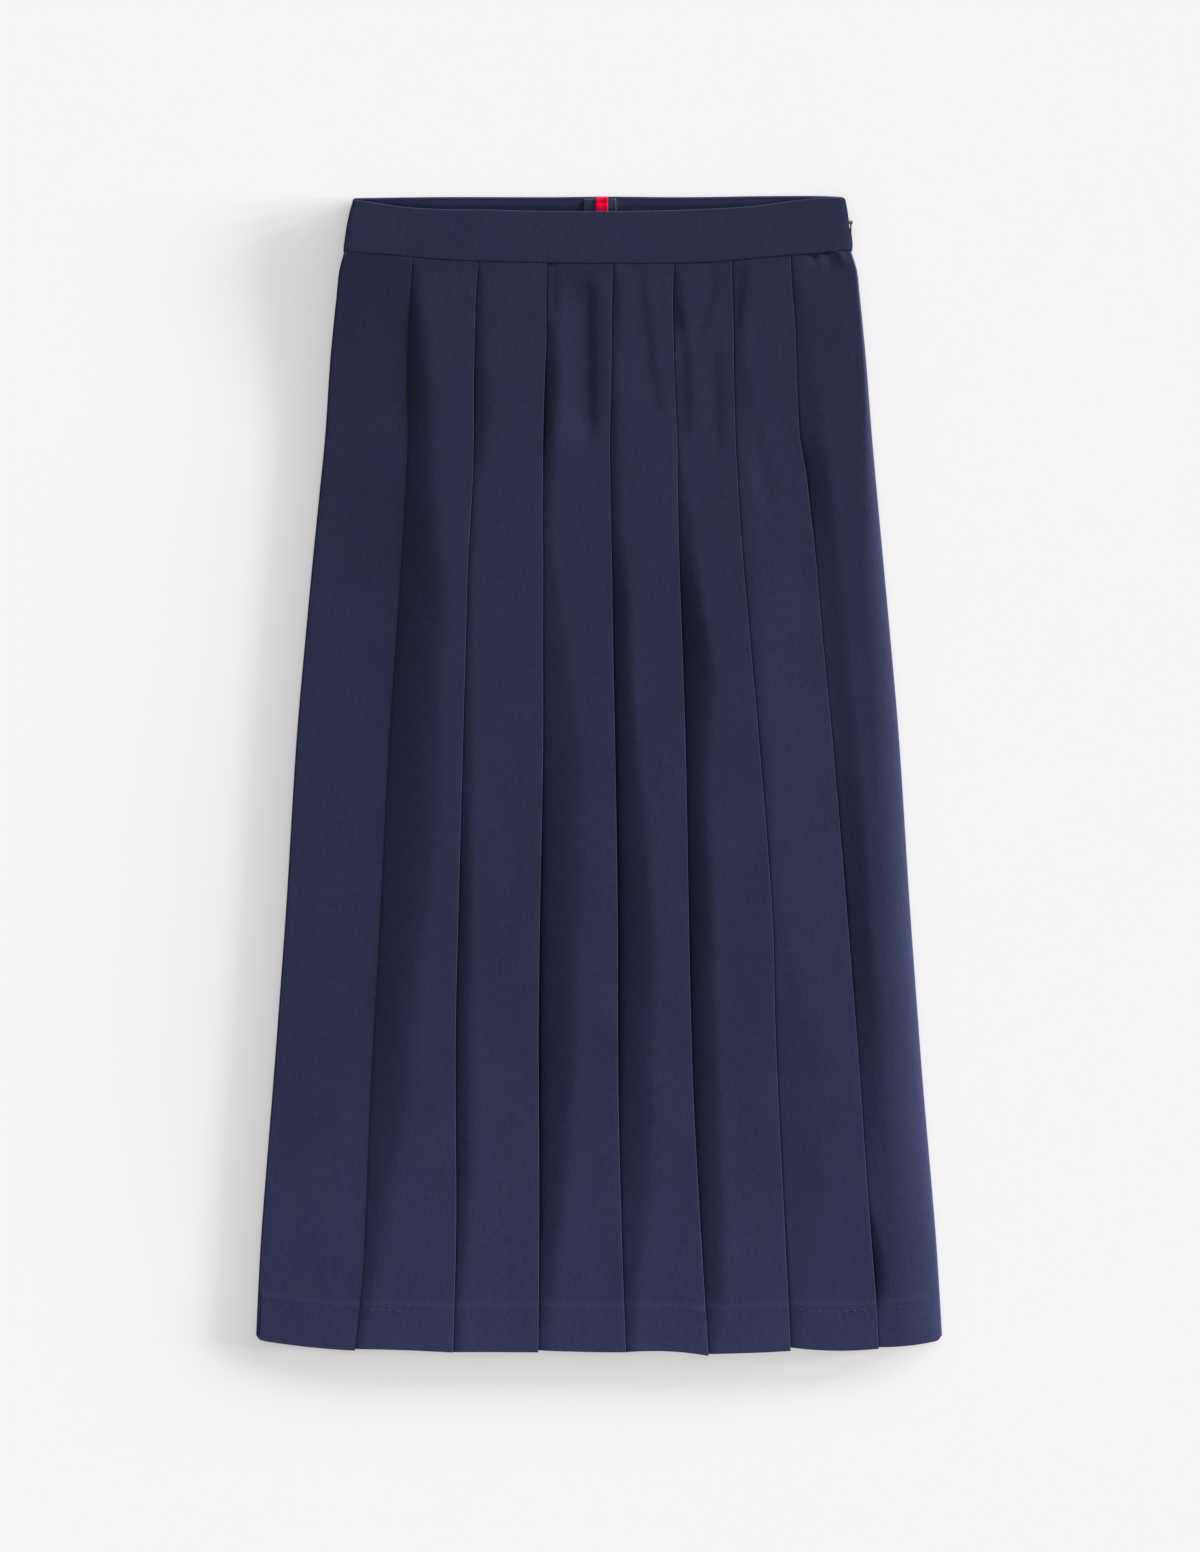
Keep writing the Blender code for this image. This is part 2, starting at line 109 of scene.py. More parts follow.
# Sections across the skirt: the height above the origin, the left outline, the edge of each
# pleat's fold and the right outline.
Section = namedtuple("Section", "height left f1 f2 f3 f4 f5 f6 f7 right")
SECTIONS = table(Section, [
    (370, -182.4, -133.4, -86.6, -37.1, 9.9, 53.6, 95.1, 136.8, 180.4),
    (356, -186.0, -134.2, -87.5, -37.6, 9.5, 53.0, 95.1, 137.4, 184.6),
    (340, -187.7, -135.2, -88.4, -37.8, 9.2, 52.6, 95.6, 138.5, 186.4),
    (315, -190.3, -136.4, -88.9, -37.7, 8.9, 53.3, 96.2, 140.4, 188.9),
    (290, -192.6, -137.1, -89.5, -38.8, 8.7, 53.8, 96.3, 141.1, 191.2),
    (240, -195.9, -136.8, -89.7, -40.1, 7.6, 56.0, 97.6, 143.5, 195.1),
    (218, -197.9, -137.6, -90.2, -40.1, 7.9, 56.0, 98.8, 147.4, 197.0),
    (197, -200.1, -138.7, -91.2, -40.3, 8.2, 56.4, 99.8, 150.0, 198.9),
    (150, -204.8, -141.8, -93.8, -40.0, 9.2, 57.5, 103.3, 155.2, 203.2),
    (100, -209.5, -145.0, -95.2, -40.1, 9.9, 59.3, 107.7, 159.4, 207.8),
    (20, -216.5, -150.5, -97.4, -40.1, 11.5, 61.9, 114.7, 167.1, 214.7),
    (-100, -223.9, -156.4, -100.6, -42.3, 13.3, 64.1, 123.8, 177.1, 222.4),
    (-170, -228.9, -160.3, -102.3, -43.2, 13.4, 65.6, 125.7, 182.8, 227.4),
    (-230, -233.4, -163.7, -102.5, -43.1, 13.8, 67.6, 128.0, 187.2, 231.9),
    (-300, -239.0, -166.3, -102.1, -42.8, 15.4, 71.4, 131.6, 192.0, 237.9),
    (-340, -242.0, -168.1, -102.5, -43.0, 16.6, 73.8, 133.5, 195.2, 241.2),
    (-372, -243.8, -170.4, -103.4, -43.2, 17.7, 75.8, 135.2, 197.8, 243.3),
    (-410, -245.5, -174.6, -104.4, -43.4, 19.1, 78.3, 137.0, 200.0, 245.5),
])
TOP_HEIGHT = SECTIONS[0].height
HEM_HEIGHT = SECTIONS[-1].height

# The hem of each visible panel: its height at the left edge, in the middle and at the right.
Hem = namedtuple("Hem", "left middle right")
HEMS = table(Hem, [
    (-403.8, -408.6, -411.2),
    (-410.0, -410.8, -412.5),
    (-412.2, -412.2, -412.4),
    (-410.9, -412.0, -412.3),
    (-412.3, -411.6, -414.9),
    (-413.6, -412.8, -411.4),
    (-408.9, -411.2, -409.8),
    (-408.7, -407.4, -403.6),
])
HEM_CORNER = 4.0            # the outer corners of the hem are rounded by this much
PLEATS = len(HEMS) - 1

# The slope beside each fold, where the next panel comes up: at a height along the skirt, how
# far it rises and over what width. The seventh also belongs to the last panel's roll.
Ramp = namedtuple("Ramp", "height rise width drop", defaults=[FOOT_DROP])
RAMPS = {fold: table(Ramp, rows) for fold, rows in enumerate([
    [(370, 0.2, 5), (352, 0.7, 7), (340, 1.2, 9), (308, 2.7, 15), (268, 3.3, 18), (218, 3.2, 20),
     (183, 4.0, 26), (125, 5.0, 35), (68, 5.4, 37), (-32, 5.4, 40), (-89, 5.2, 38),
     (-146, 4.4, 33), (-246, 3.4, 28), (-303, 2.3, 19), (-360, 1.4, 12), (-410, 0.7, 7)],
    [(370, 0.4, 5), (308, 0.9, 9), (268, 1.7, 12), (240, 1.4, 11), (210, 0.5, 6), (125, 0.4, 5),
     (68, 0.6, 7), (18, 0.9, 9), (-32, 1.3, 9), (-89, 1.9, 11), (-146, 2.0, 12), (-246, 1.9, 12),
     (-303, 1.5, 11), (-360, 0.8, 8), (-410, 0.5, 6)],
    [(370, 0.4, 5), (330, 0.9, 8), (300, 1.6, 11), (280, 2.4, 13), (262, 2.5, 11, 1.7),
     (250, 2.2, 10, 2.2), (236, 1.6, 10, 1.6), (218, 1.2, 9), (183, 0.7, 8), (125, 1.1, 14),
     (68, 2.0, 24), (18, 2.9, 30), (-32, 3.5, 31, 1.3), (-89, 3.9, 31, 1.9),
     (-146, 4.2, 30, 2.3), (-196, 4.1, 28, 2.5), (-246, 3.9, 26, 2.4), (-303, 3.0, 20, 2.2),
     (-346, 2.0, 15, 1.7), (-375, 1.4, 12, 1.3), (-410, 0.6, 7)],
    [(370, 0.3, 5), (340, 0.8, 8), (300, 0.4, 6), (254, 0.8, 7), (218, 0.8, 8), (183, 1.0, 9),
     (150, 1.8, 12), (125, 2.6, 14), (68, 3.0, 15, 1.5), (18, 3.0, 18, 1.9), (-32, 3.5, 23, 2.6),
     (-89, 4.1, 27, 2.8), (-146, 4.2, 28, 2.6), (-196, 3.9, 28, 2.2), (-246, 3.4, 27, 1.3),
     (-303, 2.5, 23), (-346, 1.6, 15), (-410, 0.6, 7)],
    [(370, 0.4, 5), (345, 0.9, 8), (330, 0.9, 9), (308, 0.3, 8), (270, 0.4, 8), (218, 0.4, 6),
     (183, 1.2, 12), (150, 2.2, 14), (125, 3.4, 17, 1.4), (90, 4.6, 23), (68, 4.4, 24),
     (18, 3.2, 18), (-32, 3.2, 16), (-89, 4.0, 19, 1.3), (-146, 4.2, 19, 1.6),
     (-196, 4.1, 19, 1.4), (-246, 3.6, 19), (-303, 3.1, 18), (-346, 2.5, 17), (-375, 1.7, 14),
     (-410, 0.6, 7)],
    [(370, 0.4, 6), (330, 0.6, 8), (308, 0.6, 9), (240, 0.4, 12), (68, 0.4, 9), (18, 0.5, 9),
     (-32, 0.3, 6), (-89, 0.2, 8), (-146, 0.5, 22), (-196, 0.9, 32), (-246, 1.0, 34),
     (-303, 1.0, 34), (-346, 0.8, 24, 1.2), (-375, 0.6, 12, 1.2), (-410, 0.6, 7)],
    [(370, 0.4, 6), (330, 0.5, 9), (308, 0.5, 11), (268, 0.4, 15), (240, 0.7, 18, 1.2),
     (218, 1.5, 18, 1.4), (183, 1.4, 18, 1.3), (150, 0.5, 16), (125, 0.2, 15), (68, 0.1, 13),
     (18, 0.2, 20), (-32, 0.7, 20, 1.2), (-89, 1.2, 18, 1.4), (-146, 1.2, 16, 1.3),
     (-196, 0.9, 12), (-246, 0.6, 12), (-285, 0.3, 8), (-308, 0.1, 6), (-322, 0.5, 6, 1.5),
     (-339, 1.2, 8, 2.6), (-358, 1.5, 9, 3.5), (-372, 1.1, 9, 2.3), (-384, 0.3, 8),
     (-410, 0.1, 7)],
], 1)}

# How far the seventh panel falls towards its fold, so that it faces the light.
Fall = namedtuple("Fall", "height fall")
LAST_FALL = table(Fall, [
    (370, 0.0), (300, 0.3), (254, 0.9), (183, 1.7), (68, 2.2), (-32, 1.8), (-146, 0.9),
    (-246, 0.1), (-410, 0.1)])

# How the skirt lies: the height of the panels' crests and of the left fold, and on the right
# how much higher the last panel lies, and the width of its round edge.
Side = namedtuple("Side", "height crest left_fold right_lift right_round")
SIDES = table(Side, [
    (370, 4.99, 4.87, -0.1, 1.6),
    (340, 5.6, 4.3, 0.0, 1.8),
    (290, 6.2, 3.2, 0.2, 2.6),
    (254, 6.5, 2.7, 0.4, 4.5),
    (215, 6.8, 2.5, 0.6, 8.0),
    (150, 7.4, 2.4, 0.8, 14.0),
    (20, 8.3, 2.4, 1.2, 19.0),
    (-100, 8.4, 2.4, 1.2, 22.0),
    (-230, 7.7, 2.4, 0.7, 29.0),
    (-303, 6.6, 2.3, 0.4, 31.0),
    (-370, 5.6, 2.2, 0.3, 31.0),
    (-410, 5.2, 2.2, 0.3, 30.0),
])
LEFT_SEAM_INSET = 2.5
LEFT_ROLL = 1.2             # the left fold reaches at most this far
RIGHT_SEAM = 1.9            # height of the right side seam

# Soft creases in one front panel: a run of points from the waist down, the depth of the trough
# (a ridge is negative) and its width on either side.
Crease = namedtuple("Crease", "panel points depth left_width right_width")
CREASES = table(Crease, [
    (4, [(-9.5, 368), (-9.0, 330), (-8.6, 270), (-8.0, 232)], 1.3, 22.0, 6.0),
    (4, [(-33.2, 378), (-32.0, 352), (-31.5, 322)], 0.5, 5.0, 2.2),
    (5, [(27.0, 374), (32.0, 330), (37.5, 283), (49.0, 240)], 0.35, 15.0, 3.6),
    (6, [(53.0, 352), (60.0, 308), (61.5, 268), (60.5, 228)], 0.5, 9.0, 3.6),
    (6, [(87.0, 374), (74.0, 326), (62.0, 298)], 0.35, 12.0, 3.4),
    (6, [(81.0, 320), (83.0, 270), (84.0, 217)], 0.35, 10.0, 4.5),
    (6, [(80.0, -110), (82.5, -200), (85.5, -280), (87.0, -350)], 0.4, 8.0, 28.0),
    (2, [(-95.0, -250), (-94.5, -310), (-96.0, -392)], -0.45, 26.0, 6.0),
    (4, [(20.0, -150), (22.0, -230), (24.5, -310), (27.5, -390)], -0.6, 26.0, 6.0),
    (5, [(76.0, -230), (79.0, -310), (83.0, -390)], -0.4, 24.0, 6.0),
    (7, [(193.0, -210), (198.5, -290), (205.0, -388)], -0.5, 26.0, 6.0),
    (7, [(101.5, 374), (100.5, 345), (97.5, 312)], 0.5, 7.0, 3.0),
    (7, [(102.0, 297), (109.0, 252), (117.0, 215), (126.0, 172)], 0.3, 12.0, 5.0),
    (8, [(152.6, 373), (153.4, 369), (155.2, 364)], 0.7, 2.6, 1.6),
    (8, [(163.0, 374), (164.0, 366), (166.5, 358)], 0.35, 3.5, 2.2),
    (8, [(171.0, 374), (172.0, 369), (174.5, 363)], -0.5, 2.0, 2.0),
    (8, [(169.0, 364.5), (175.0, 363.0), (181.0, 360.5)], -0.45, 1.8, 1.8),
])
# The back panel's, which only lift it from the floor.
BACK_CREASES = table(Crease, [
    (4, [(-12.0, 372), (-10.0, 320), (-6.0, 262), (-3.0, 225)], 1.1, 9.0, 20.0),
    (3, [(-62.0, 370), (-58.0, 318), (-55.0, 270)], 0.5, 7.0, 12.0),
    (6, [(78.0, 368), (70.0, 316), (62.0, 262), (58.0, 210)], 0.6, 8.0, 14.0),
    (7, [(118.0, 366), (122.0, 300), (131.0, 232)], 0.5, 7.0, 12.0),
    (2, [(-118.0, 364), (-124.0, 300), (-133.0, 236)], 0.45, 10.0, 7.0),
    (5, [(34.0, -60), (38.0, -150), (40.0, -240), (41.0, -330)], 0.7, 10.0, 16.0),
    (2, [(-122.0, -20), (-128.0, -130), (-134.0, -250)], 0.8, 14.0, 10.0),
])
CREASE_START_FADE = 30.0    # a crease comes up over this length, or a third of its own
CREASE_END_FADE = 34.0      # and dies away over this one
CREASE_REACH = 2.6          # widths beyond which it is nothing

# The line where the band is sewn to the pleats, and the top edges of the two bands.
Line = namedtuple("Line", "x y")
BAND_SEAM = table(Line, [
    (-182, 375.0), (-157, 372.9), (-142, 371.4), (-128, 370.1), (-114, 369.0), (-70, 367.2),
    (-28, 366.3), (30, 366.0), (66, 366.4), (92, 367.9), (127, 371.1), (161, 373.8),
    (181, 375.4)])
FRONT_TOP = table(Line, [
    (-182, 412.2), (-165, 410.5), (-142, 406.9), (-114, 405.1), (-85, 404.8), (-42, 403.8),
    (0, 403.6), (29, 403.8), (66, 404.8), (109, 407.1), (135, 410.5), (160, 413.2),
    (181, 413.2)])
BACK_TOP = table(Line, [
    (-182, 413.4), (-110, 414.2), (-35, 414.1), (5, 414.5), (60, 414.1), (120, 414.9),
    (160, 415.0), (181, 413.9)])
BandSide = namedtuple("BandSide", "y left right")
BAND_SIDES = table(BandSide, [
    (413.2, -176.4, 176.3), (404.4, -178.7, 177.9), (395.8, -180.3, 178.8),
    (391.8, -180.9, 179.0), (387.2, -181.5, 180.7), (381.0, -182.3, 181.4),
    (375.0, -182.7, 181.0)])
BAND_PLY = 0.5              # one ply of a band, which is folded double
FRONT_BAND = 1.4            # thickness of the front band
BACK_BAND = 2.4             # and of the back one
BAND_AT_ZIP = 1.1           # both are thinner at the zip
BAND_ZIP_TAPER = 9.0
BAND_OUTER_LEFT = 5.2       # outer face of the front band at its left end
BAND_OUTER_MIDDLE = 5.35    # over the pleats
BAND_OUTER_RIGHT = 5.3      # and at its right end
BAND_RIGHT_FALL = 0.4       # which rounds down by this much
BAND_RIGHT_RUN = 6.0
BAND_SIDE_TAPER = 40.0
BAND_WAVE = 0.12            # soft waves of the front band's face
BAND_SEAM_GAP = 0.2
BAND_LEFT_SEAM = 2.0        # the left side seam of the bands lies this far inside the edge
BAND_SIDE_SEAM = 0.18       # and dips by this much
BAND_ROLL = 1.3             # the left end turns over to the back within this width
BAND_CORNER = 2.4           # radius of the band's top corner
GROOVE = 0.15               # how deep the band turns in at its seam with the pleats
GROOVE_RUN = 0.8
BACK_CURL = 0.07            # rise of the back band's top for each mm that it stands free
BACK_CURL_POWER = 5         # more keeps the curl nearer to its edge
LABEL_RISE, TAB_RISE = 0.72, 1.28   # of their middles above the back band's inside
PATCH_THICKNESS = 0.3       # of the label patch and the tab
PATCH_EDGE_FALL = 0.05      # their edges lie this much lower
PATCH_EDGE_RUN = 0.5
THREAD_END = 0.45           # thickness of a stitch at its ends against its middle
THREAD_SINK = 0.06          # a hem stitch lies this deep in the cloth
LABEL_STITCH_PITCH = 1.9
LABEL_WAVE = 0.12           # soft waves in the label, and in the tab
TAB_WAVE = 0.06
TAB_CREASE_DEPTH = 0.2
TAB_CREASE = 4.2            # distances from the tab's top edge
TAB_STITCH_ROW = 2.2
TAB_STITCHES = (1.3, 3.6, 5.8, 7.6)
TAB_DIMPLE = 0.12           # how far they pull the tab in

HEM_STITCH_HEIGHT = 28.0
HEM_STITCH_PITCH = 6.2
HEM_STITCH_CLEAR = (1, 6)   # the panels where the stitches show most
HEM_THREAD_CLEAR = 0.17     # radius of the thread there, and elsewhere
HEM_THREAD = 0.09
BAND_STITCH_PITCH = 1.9
BAND_THREAD = 0.1           # radius of a tight stitch's thread
BAND_THREAD_LOOSE = 0.12    # and how much a loose one is thicker and stands up
EDGE_STITCH_PITCH = 2.6
EDGE_STITCH_DOWN = 1.6      # below the back band's top edge
EDGE_THREAD = 0.12          # radii of the other threads
LABEL_THREAD = 0.19
TAB_THREAD = 0.3

ZIP_TOP, ZIP_BOTTOM = 408.0, 376.0
ZIP_CLOSED_TOP = 392.4      # the teeth are closed up to the slider
ZIP_MIDDLE = 2.55           # height of the middle of the zip
ZIP_TAPE_FRONT, ZIP_TAPE_BACK = 3.75, 1.4
ZIP_TAPE_WIDTH = 11.0
ZIP_TAPE_THICKNESS = 0.35
ZIP_TAPE_INSET = 2.6        # from the edge of the band to the edge of the tapes
ZIP_BEAD = 0.35             # the cord woven in near the tape's edge
ZIP_TEETH_INSET = 3.0
ZIP_TOOTH_PITCH = 0.62
ZIP_TOOTH_RADIUS = 0.2      # of the nylon; its loops:
ZIP_LOOP_HALF_WIDTH = 0.55
ZIP_LOOP_HALF_HEIGHT = 0.5
ZIP_LOOP_OFFSET = 0.3       # every other loop lies this far up, the rest as far down

NAVY = (0.0190, 0.0215, 0.0550)


# ---------------------------------------------------------------- small helpers
def smooth_step(t):
    """0 to 1 with level ends."""
    t = min(max(t, 0.0), 1.0)
    return t * t * (3.0 - 2.0 * t)


def mix(a, b, t):
    return a + (b - a) * t


def ripple(x, y, layer):
    """Smooth noise from -1 to 1. Each use of it has a layer of its own."""
    return noise.noise((x, y, layer))


def smooth_curve(rows, key, value):
    """The value column of some rows as a smooth function of their key column."""
    rows = sorted(rows, key=lambda row: getattr(row, key))
    xs = [getattr(row, key) for row in rows]
    ys = [getattr(row, value) for row in rows]
    last = len(xs) - 1

    def curve(at):
        if at <= xs[0]:
            return ys[0]
        if at >= xs[-1]:
            return ys[-1]
        i = max(j for j in range(last) if xs[j] <= at)
        before = max(i - 1, 0)
        after = min(i + 2, last)
        width = xs[i + 1] - xs[i]
        slope_in = (ys[i + 1] - ys[before]) / (xs[i + 1] - xs[before]) * width
        slope_out = (ys[after] - ys[i]) / (xs[after] - xs[i]) * width
        t = (at - xs[i]) / width
        rise = ys[i + 1] - ys[i]
        return (ys[i] + slope_in * t * (1.0 - t) ** 2 + rise * t * t * (3.0 - 2.0 * t)
                - slope_out * t * t * (1.0 - t))

    return curve


OUTLINE = {name: smooth_curve(SECTIONS, "height", name) for name in Section._fields[1:]}
SIDE = {name: smooth_curve(SIDES, "height", name) for name in Side._fields[1:]}
last_fall = smooth_curve(LAST_FALL, "height", "fall")
RAMP = {fold: {name: smooth_curve(rows, "height", name) for name in Ramp._fields[1:]}
        for fold, rows in RAMPS.items()}
seam_line = smooth_curve(BAND_SEAM, "x", "y")
front_top_line = smooth_curve(FRONT_TOP, "x", "y")
back_top_line = smooth_curve(BACK_TOP, "x", "y")
band_left = smooth_curve(BAND_SIDES, "y", "left")
band_right = smooth_curve(BAND_SIDES, "y", "right")


def hem_height(panel, t):
    """Height of a visible panel's hem at t from its left edge to its right one."""
    hem = HEMS[panel]
    t = min(max(t, 0.0), 1.0)
    left_share = (1.0 - t) * (1.0 - 2.0 * t)
    middle_share = 4.0 * t * (1.0 - t)
    right_share = t * (2.0 * t - 1.0)
    return hem.left * left_share + hem.middle * middle_share + hem.right * right_share


def turn(centre_x, start, end, reach, steps=4):
    """Half turn from one layer's height to another's, bulging by reach, to -X if negative."""
    points = []
    for i in range(steps + 1):
        angle = math.pi * i / steps
        height = mix(start, end, (1.0 - math.cos(angle)) / 2.0)
        points.append((centre_x + reach * math.sin(angle), height))
    return points


def add_object(name, data):
    obj = bpy.data.objects.new(name, data)
    bpy.context.scene.collection.objects.link(obj)
    return obj


def mesh_object(name, bm):
    """The object of a finished bmesh."""
    mesh = bpy.data.meshes.new(name)
    bm.to_mesh(mesh)
    bm.free()
    return add_object(name, mesh)


def sheet_object(name, rows, thickness, even=False):
    """Open surface through rows of (x, y, z, u, v) in mm, given a wall by Solidify."""
    bm = bmesh.new()
    uv_layer = bm.loops.layers.uv.new("cloth")
    grid = [[bm.verts.new([c * MM for c in point[:3]]) for point in row] for row in rows]
    place = {}
    for verts, row in zip(grid, rows):
        for vert, point in zip(verts, row):
            place[vert] = (point[3] * MM, point[4] * MM)
    for upper, lower in zip(grid, grid[1:]):
        for i in range(len(upper) - 1):
            face = bm.faces.new((upper[i], lower[i], lower[i + 1], upper[i + 1]))
            face.smooth = True
            for loop in face.loops:
                loop[uv_layer].uv = place[loop.vert]
    obj = mesh_object(name, bm)
    wall = obj.modifiers.new("wall", "SOLIDIFY")
    wall.thickness = thickness * MM
    wall.offset = 0.0
    wall.use_even_offset = even
    wall.use_quality_normals = True
    return obj


# ---------------------------------------------------------------- the pleated panels
FlatPoint = namedtuple("FlatPoint", "x z hem")


class MiddleLine(list):
    """A panel's cloth at one height, as points that also hold the height of the hem there."""

    def add(self, x, z, hem):
        self.append(FlatPoint(x, z, hem))


def crease_depth(crease, x, y):
    """How deep a crease is at a point of its panel."""
    reach = CREASE_REACH * max(crease.left_width, crease.right_width)
    xs = [point[0] for point in crease.points]
    ys = [point[1] for point in crease.points]
    if not (min(xs) - reach < x < max(xs) + reach and min(ys) - reach < y < max(ys) + reach):
        return 0.0
    run = 0.0
    nearest = None
    for (x0, y0), (x1, y1) in zip(crease.points, crease.points[1:]):
        along = Vector((x1 - x0, y1 - y0))
        length = along.length
        along /= length
        offset = Vector((x - x0, y - y0))
        t = min(max(offset.dot(along), 0.0), length)
        distance = (offset - along * t).length
        if nearest is None or distance < nearest[0]:
            side = along.x * offset.y - along.y * offset.x
            nearest = (distance, run + t, side)
        run += length
    distance, at, side = nearest
    fade = smooth_step((run - at) / min(CREASE_END_FADE, run / 3.0))
    fade *= smooth_step(at / min(CREASE_START_FADE, run / 3.0))
    width = crease.right_width if side > 0.0 else crease.left_width
    return crease.depth * fade * math.exp(-(distance / width) ** 2)


class FrontSection:
    """Where the front panel's cloth runs at one height of the skirt."""

    def __init__(self, height):
        self.height = height
        self.left = OUTLINE["left"](height)
        self.right = OUTLINE["right"](height)
        self.folds = [OUTLINE[name](height) for name in Section._fields[2:9]]
        self.ramps = [{name: curve(height) for name, curve in RAMP[k].items()}
                      for k in range(1, PLEATS + 1)]
        self.side = {name: curve(height) for name, curve in SIDE.items()}
        self.last_fall = last_fall(height)
        free = smooth_step((TOP_HEIGHT - height) / SEWN_RUN)
        for ramp in self.ramps:
            ramp["rise"] *= free
        self.share = (height - HEM_HEIGHT) / (TOP_HEIGHT - HEM_HEIGHT)
        self.shoulder = mix(SHOULDER_HEM, SHOULDER_TOP, self.share)
        self.creases = [[c for c in CREASES if c.panel == panel + 1]
                        for panel in range(PLEATS + 1)]

    def start(self, panel):
        return self.left if panel == 0 else self.folds[panel - 1]

    def end(self, panel):
        return self.right if panel == PLEATS else self.folds[panel]

    def drop(self, panel):
        ramp = self.ramps[panel - 1]
        return max(ramp["drop"], STACK - ramp["rise"])

    def crest(self, panel):
        return self.side["crest"] - (self.last_fall if panel == PLEATS else 0.0)

    def foot(self, panel):
        """Height at which a panel comes out from under a fold."""
        return self.crest(panel) - self.ramps[panel - 1]["rise"] - self.drop(panel)

    def first_crest(self):
        """The first panel ends just above the foot of the next one."""
        return self.foot(1) + STACK

    def outer(self, panel, x):
        """Height of a panel's outer layer."""
        if panel == 0:
            first = self.left + LEFT_SEAM_INSET
            t = max(0.0, x - first) / (self.folds[0] - first)
            z = mix(self.side["left_fold"], self.first_crest(), t)
        else:
            ramp, drop = self.ramps[panel - 1], self.drop(panel)
            run = x - self.start(panel) + OVERHANG
            left_to_rise = max(0.0, 1.0 - run / ramp["width"])
            z = (self.foot(panel) + drop * (1.0 - math.exp(-run / (FOOT_REACH * drop)))
                 + ramp["rise"] * (1.0 - left_to_rise ** RAMP_POWER))
        if panel < PLEATS:
            near = max(0.0, 1.0 - (self.end(panel) - x) / SHOULDER_RUN)
            z -= self.shoulder * near * near
            if panel == PLEATS - 1:
                width = self.end(panel) - self.start(panel)
                z -= self.last_fall * smooth_step((x - self.start(panel)) / width * 0.6 + 0.2)
        else:
            z += self.side["right_lift"] * smooth_step((x - self.start(panel)) / LIFT_RUN)
            inside = max(0.0, 1.0 - (self.right - x) / self.side["right_round"])
            roundness = math.sqrt(max(0.0, 1.0 - inside * inside))
            z = RIGHT_SEAM + (z - RIGHT_SEAM) * roundness
        for crease in self.creases[panel]:
            z -= crease_depth(crease, x, self.height)
        return z

    def hem(self, panel, x):
        width = self.end(panel) - self.start(panel)
        hem = hem_height(panel, (x - self.start(panel)) / width)
        from_side = max(0.0, min(x - self.left, self.right - x))
        return hem + HEM_CORNER * max(0.0, 1.0 - from_side / HEM_CORNER) ** 2


EDGE_COLUMN = 0.12          # a column this near an edge keeps the rounding to the edge
UNDERLAY_PLACES = (0.3, 0.6, 0.85, 0.97)
FOOT_COLUMNS = (0.0, 0.25, 0.55, 1.0, 1.7, 2.7, 4.0, 6.0, 8.5, 11.5)
PANEL_COLUMNS = (16, 10, 10, 15, 14, 14, 12, 16)
BACK_PANEL_COLUMNS = 10
BACK_UNDERLAY_PLACES = (0.35, 0.7, 0.95)
BACK_LAST_COLUMNS = (0.3, 1.2, 2.5, 4.5, 8.0, 12.0, 17.0, 23.0)
RIM_COLUMNS = (0.93, 0.8, 0.66, 0.52, 0.4, 0.3, 0.21, 0.14, 0.08, 0.035, 0.01)


def front_line(section):
    """Front panel's middle line from the left side seam to the right one."""
    line = MiddleLine()
    for panel in range(PLEATS + 1):
        start, end = section.start(panel), section.end(panel)
        if panel == 0:
            first = start + LEFT_SEAM_INSET + SEAM_GAP / 2.0
            xs = [first, first + EDGE_COLUMN]
        else:
            xs = [start + step for step in FOOT_COLUMNS]
            first = xs[-1]
        last = end - TURN_REACH
        if panel == PLEATS:
            last = end - section.side["right_round"]
        count = PANEL_COLUMNS[panel]
        xs += [mix(first, last, i / count) for i in range(1, count)]
        if panel < PLEATS:
            xs += [end - SHOULDER_RUN * SHOULDER_COLUMN, last - EDGE_COLUMN]
            xs.sort()
        for x in xs:
            line.add(x, section.outer(panel, x), section.hem(panel, x))
        if panel == PLEATS:
            break

        # the fold, the two hidden layers and the way back to the next panel's foot
        top = section.outer(panel, last)
        end_hem = section.hem(panel, end)
        next_hem = section.hem(panel + 1, end)
        for x, z in turn(last, top, top - LAYER_STEP, FOLD_ROUND, 5):
            line.add(x, z, end_hem)
        width = end - start
        underlay = min((PLEAT_CLOTH - width) / 2.0, width - LEAST_PANEL_START)
        back_x = end - underlay + TURN_REACH
        half_x = (last + back_x) / 2.0
        half_z = section.outer(panel, half_x) - LAYER_STEP
        half_hem = section.hem(panel, half_x) + HIDDEN_HEM_LIFT / 2.0
        line.add(half_x, half_z, half_hem)
        middle = section.outer(panel, back_x) - LAYER_STEP
        for x, z in turn(back_x, middle, middle - LAYER_STEP, -FOLD_ROUND, 4):
            line.add(x, z, section.hem(panel, x) + HIDDEN_HEM_LIFT)
        inner = middle - LAYER_STEP
        foot = section.foot(panel + 1)
        for t in UNDERLAY_PLACES:
            x = mix(back_x, end - OVERHANG, t)
            hem = mix(section.hem(panel, x) + HIDDEN_HEM_LIFT, next_hem, smooth_step(t))
            line.add(x, mix(inner, foot, smooth_step(t)), hem)

    # the round right side, down to its seam
    edge = section.right - WALL / 2.0
    for share in RIM_COLUMNS:
        x = edge - section.side["right_round"] * share
        line.add(x, section.outer(PLEATS, x), section.hem(PLEATS, x))
    corner_hem = section.hem(PLEATS, section.right)
    line.add(edge, RIGHT_SEAM + SEAM_GAP / 2.0, corner_hem)
    return line


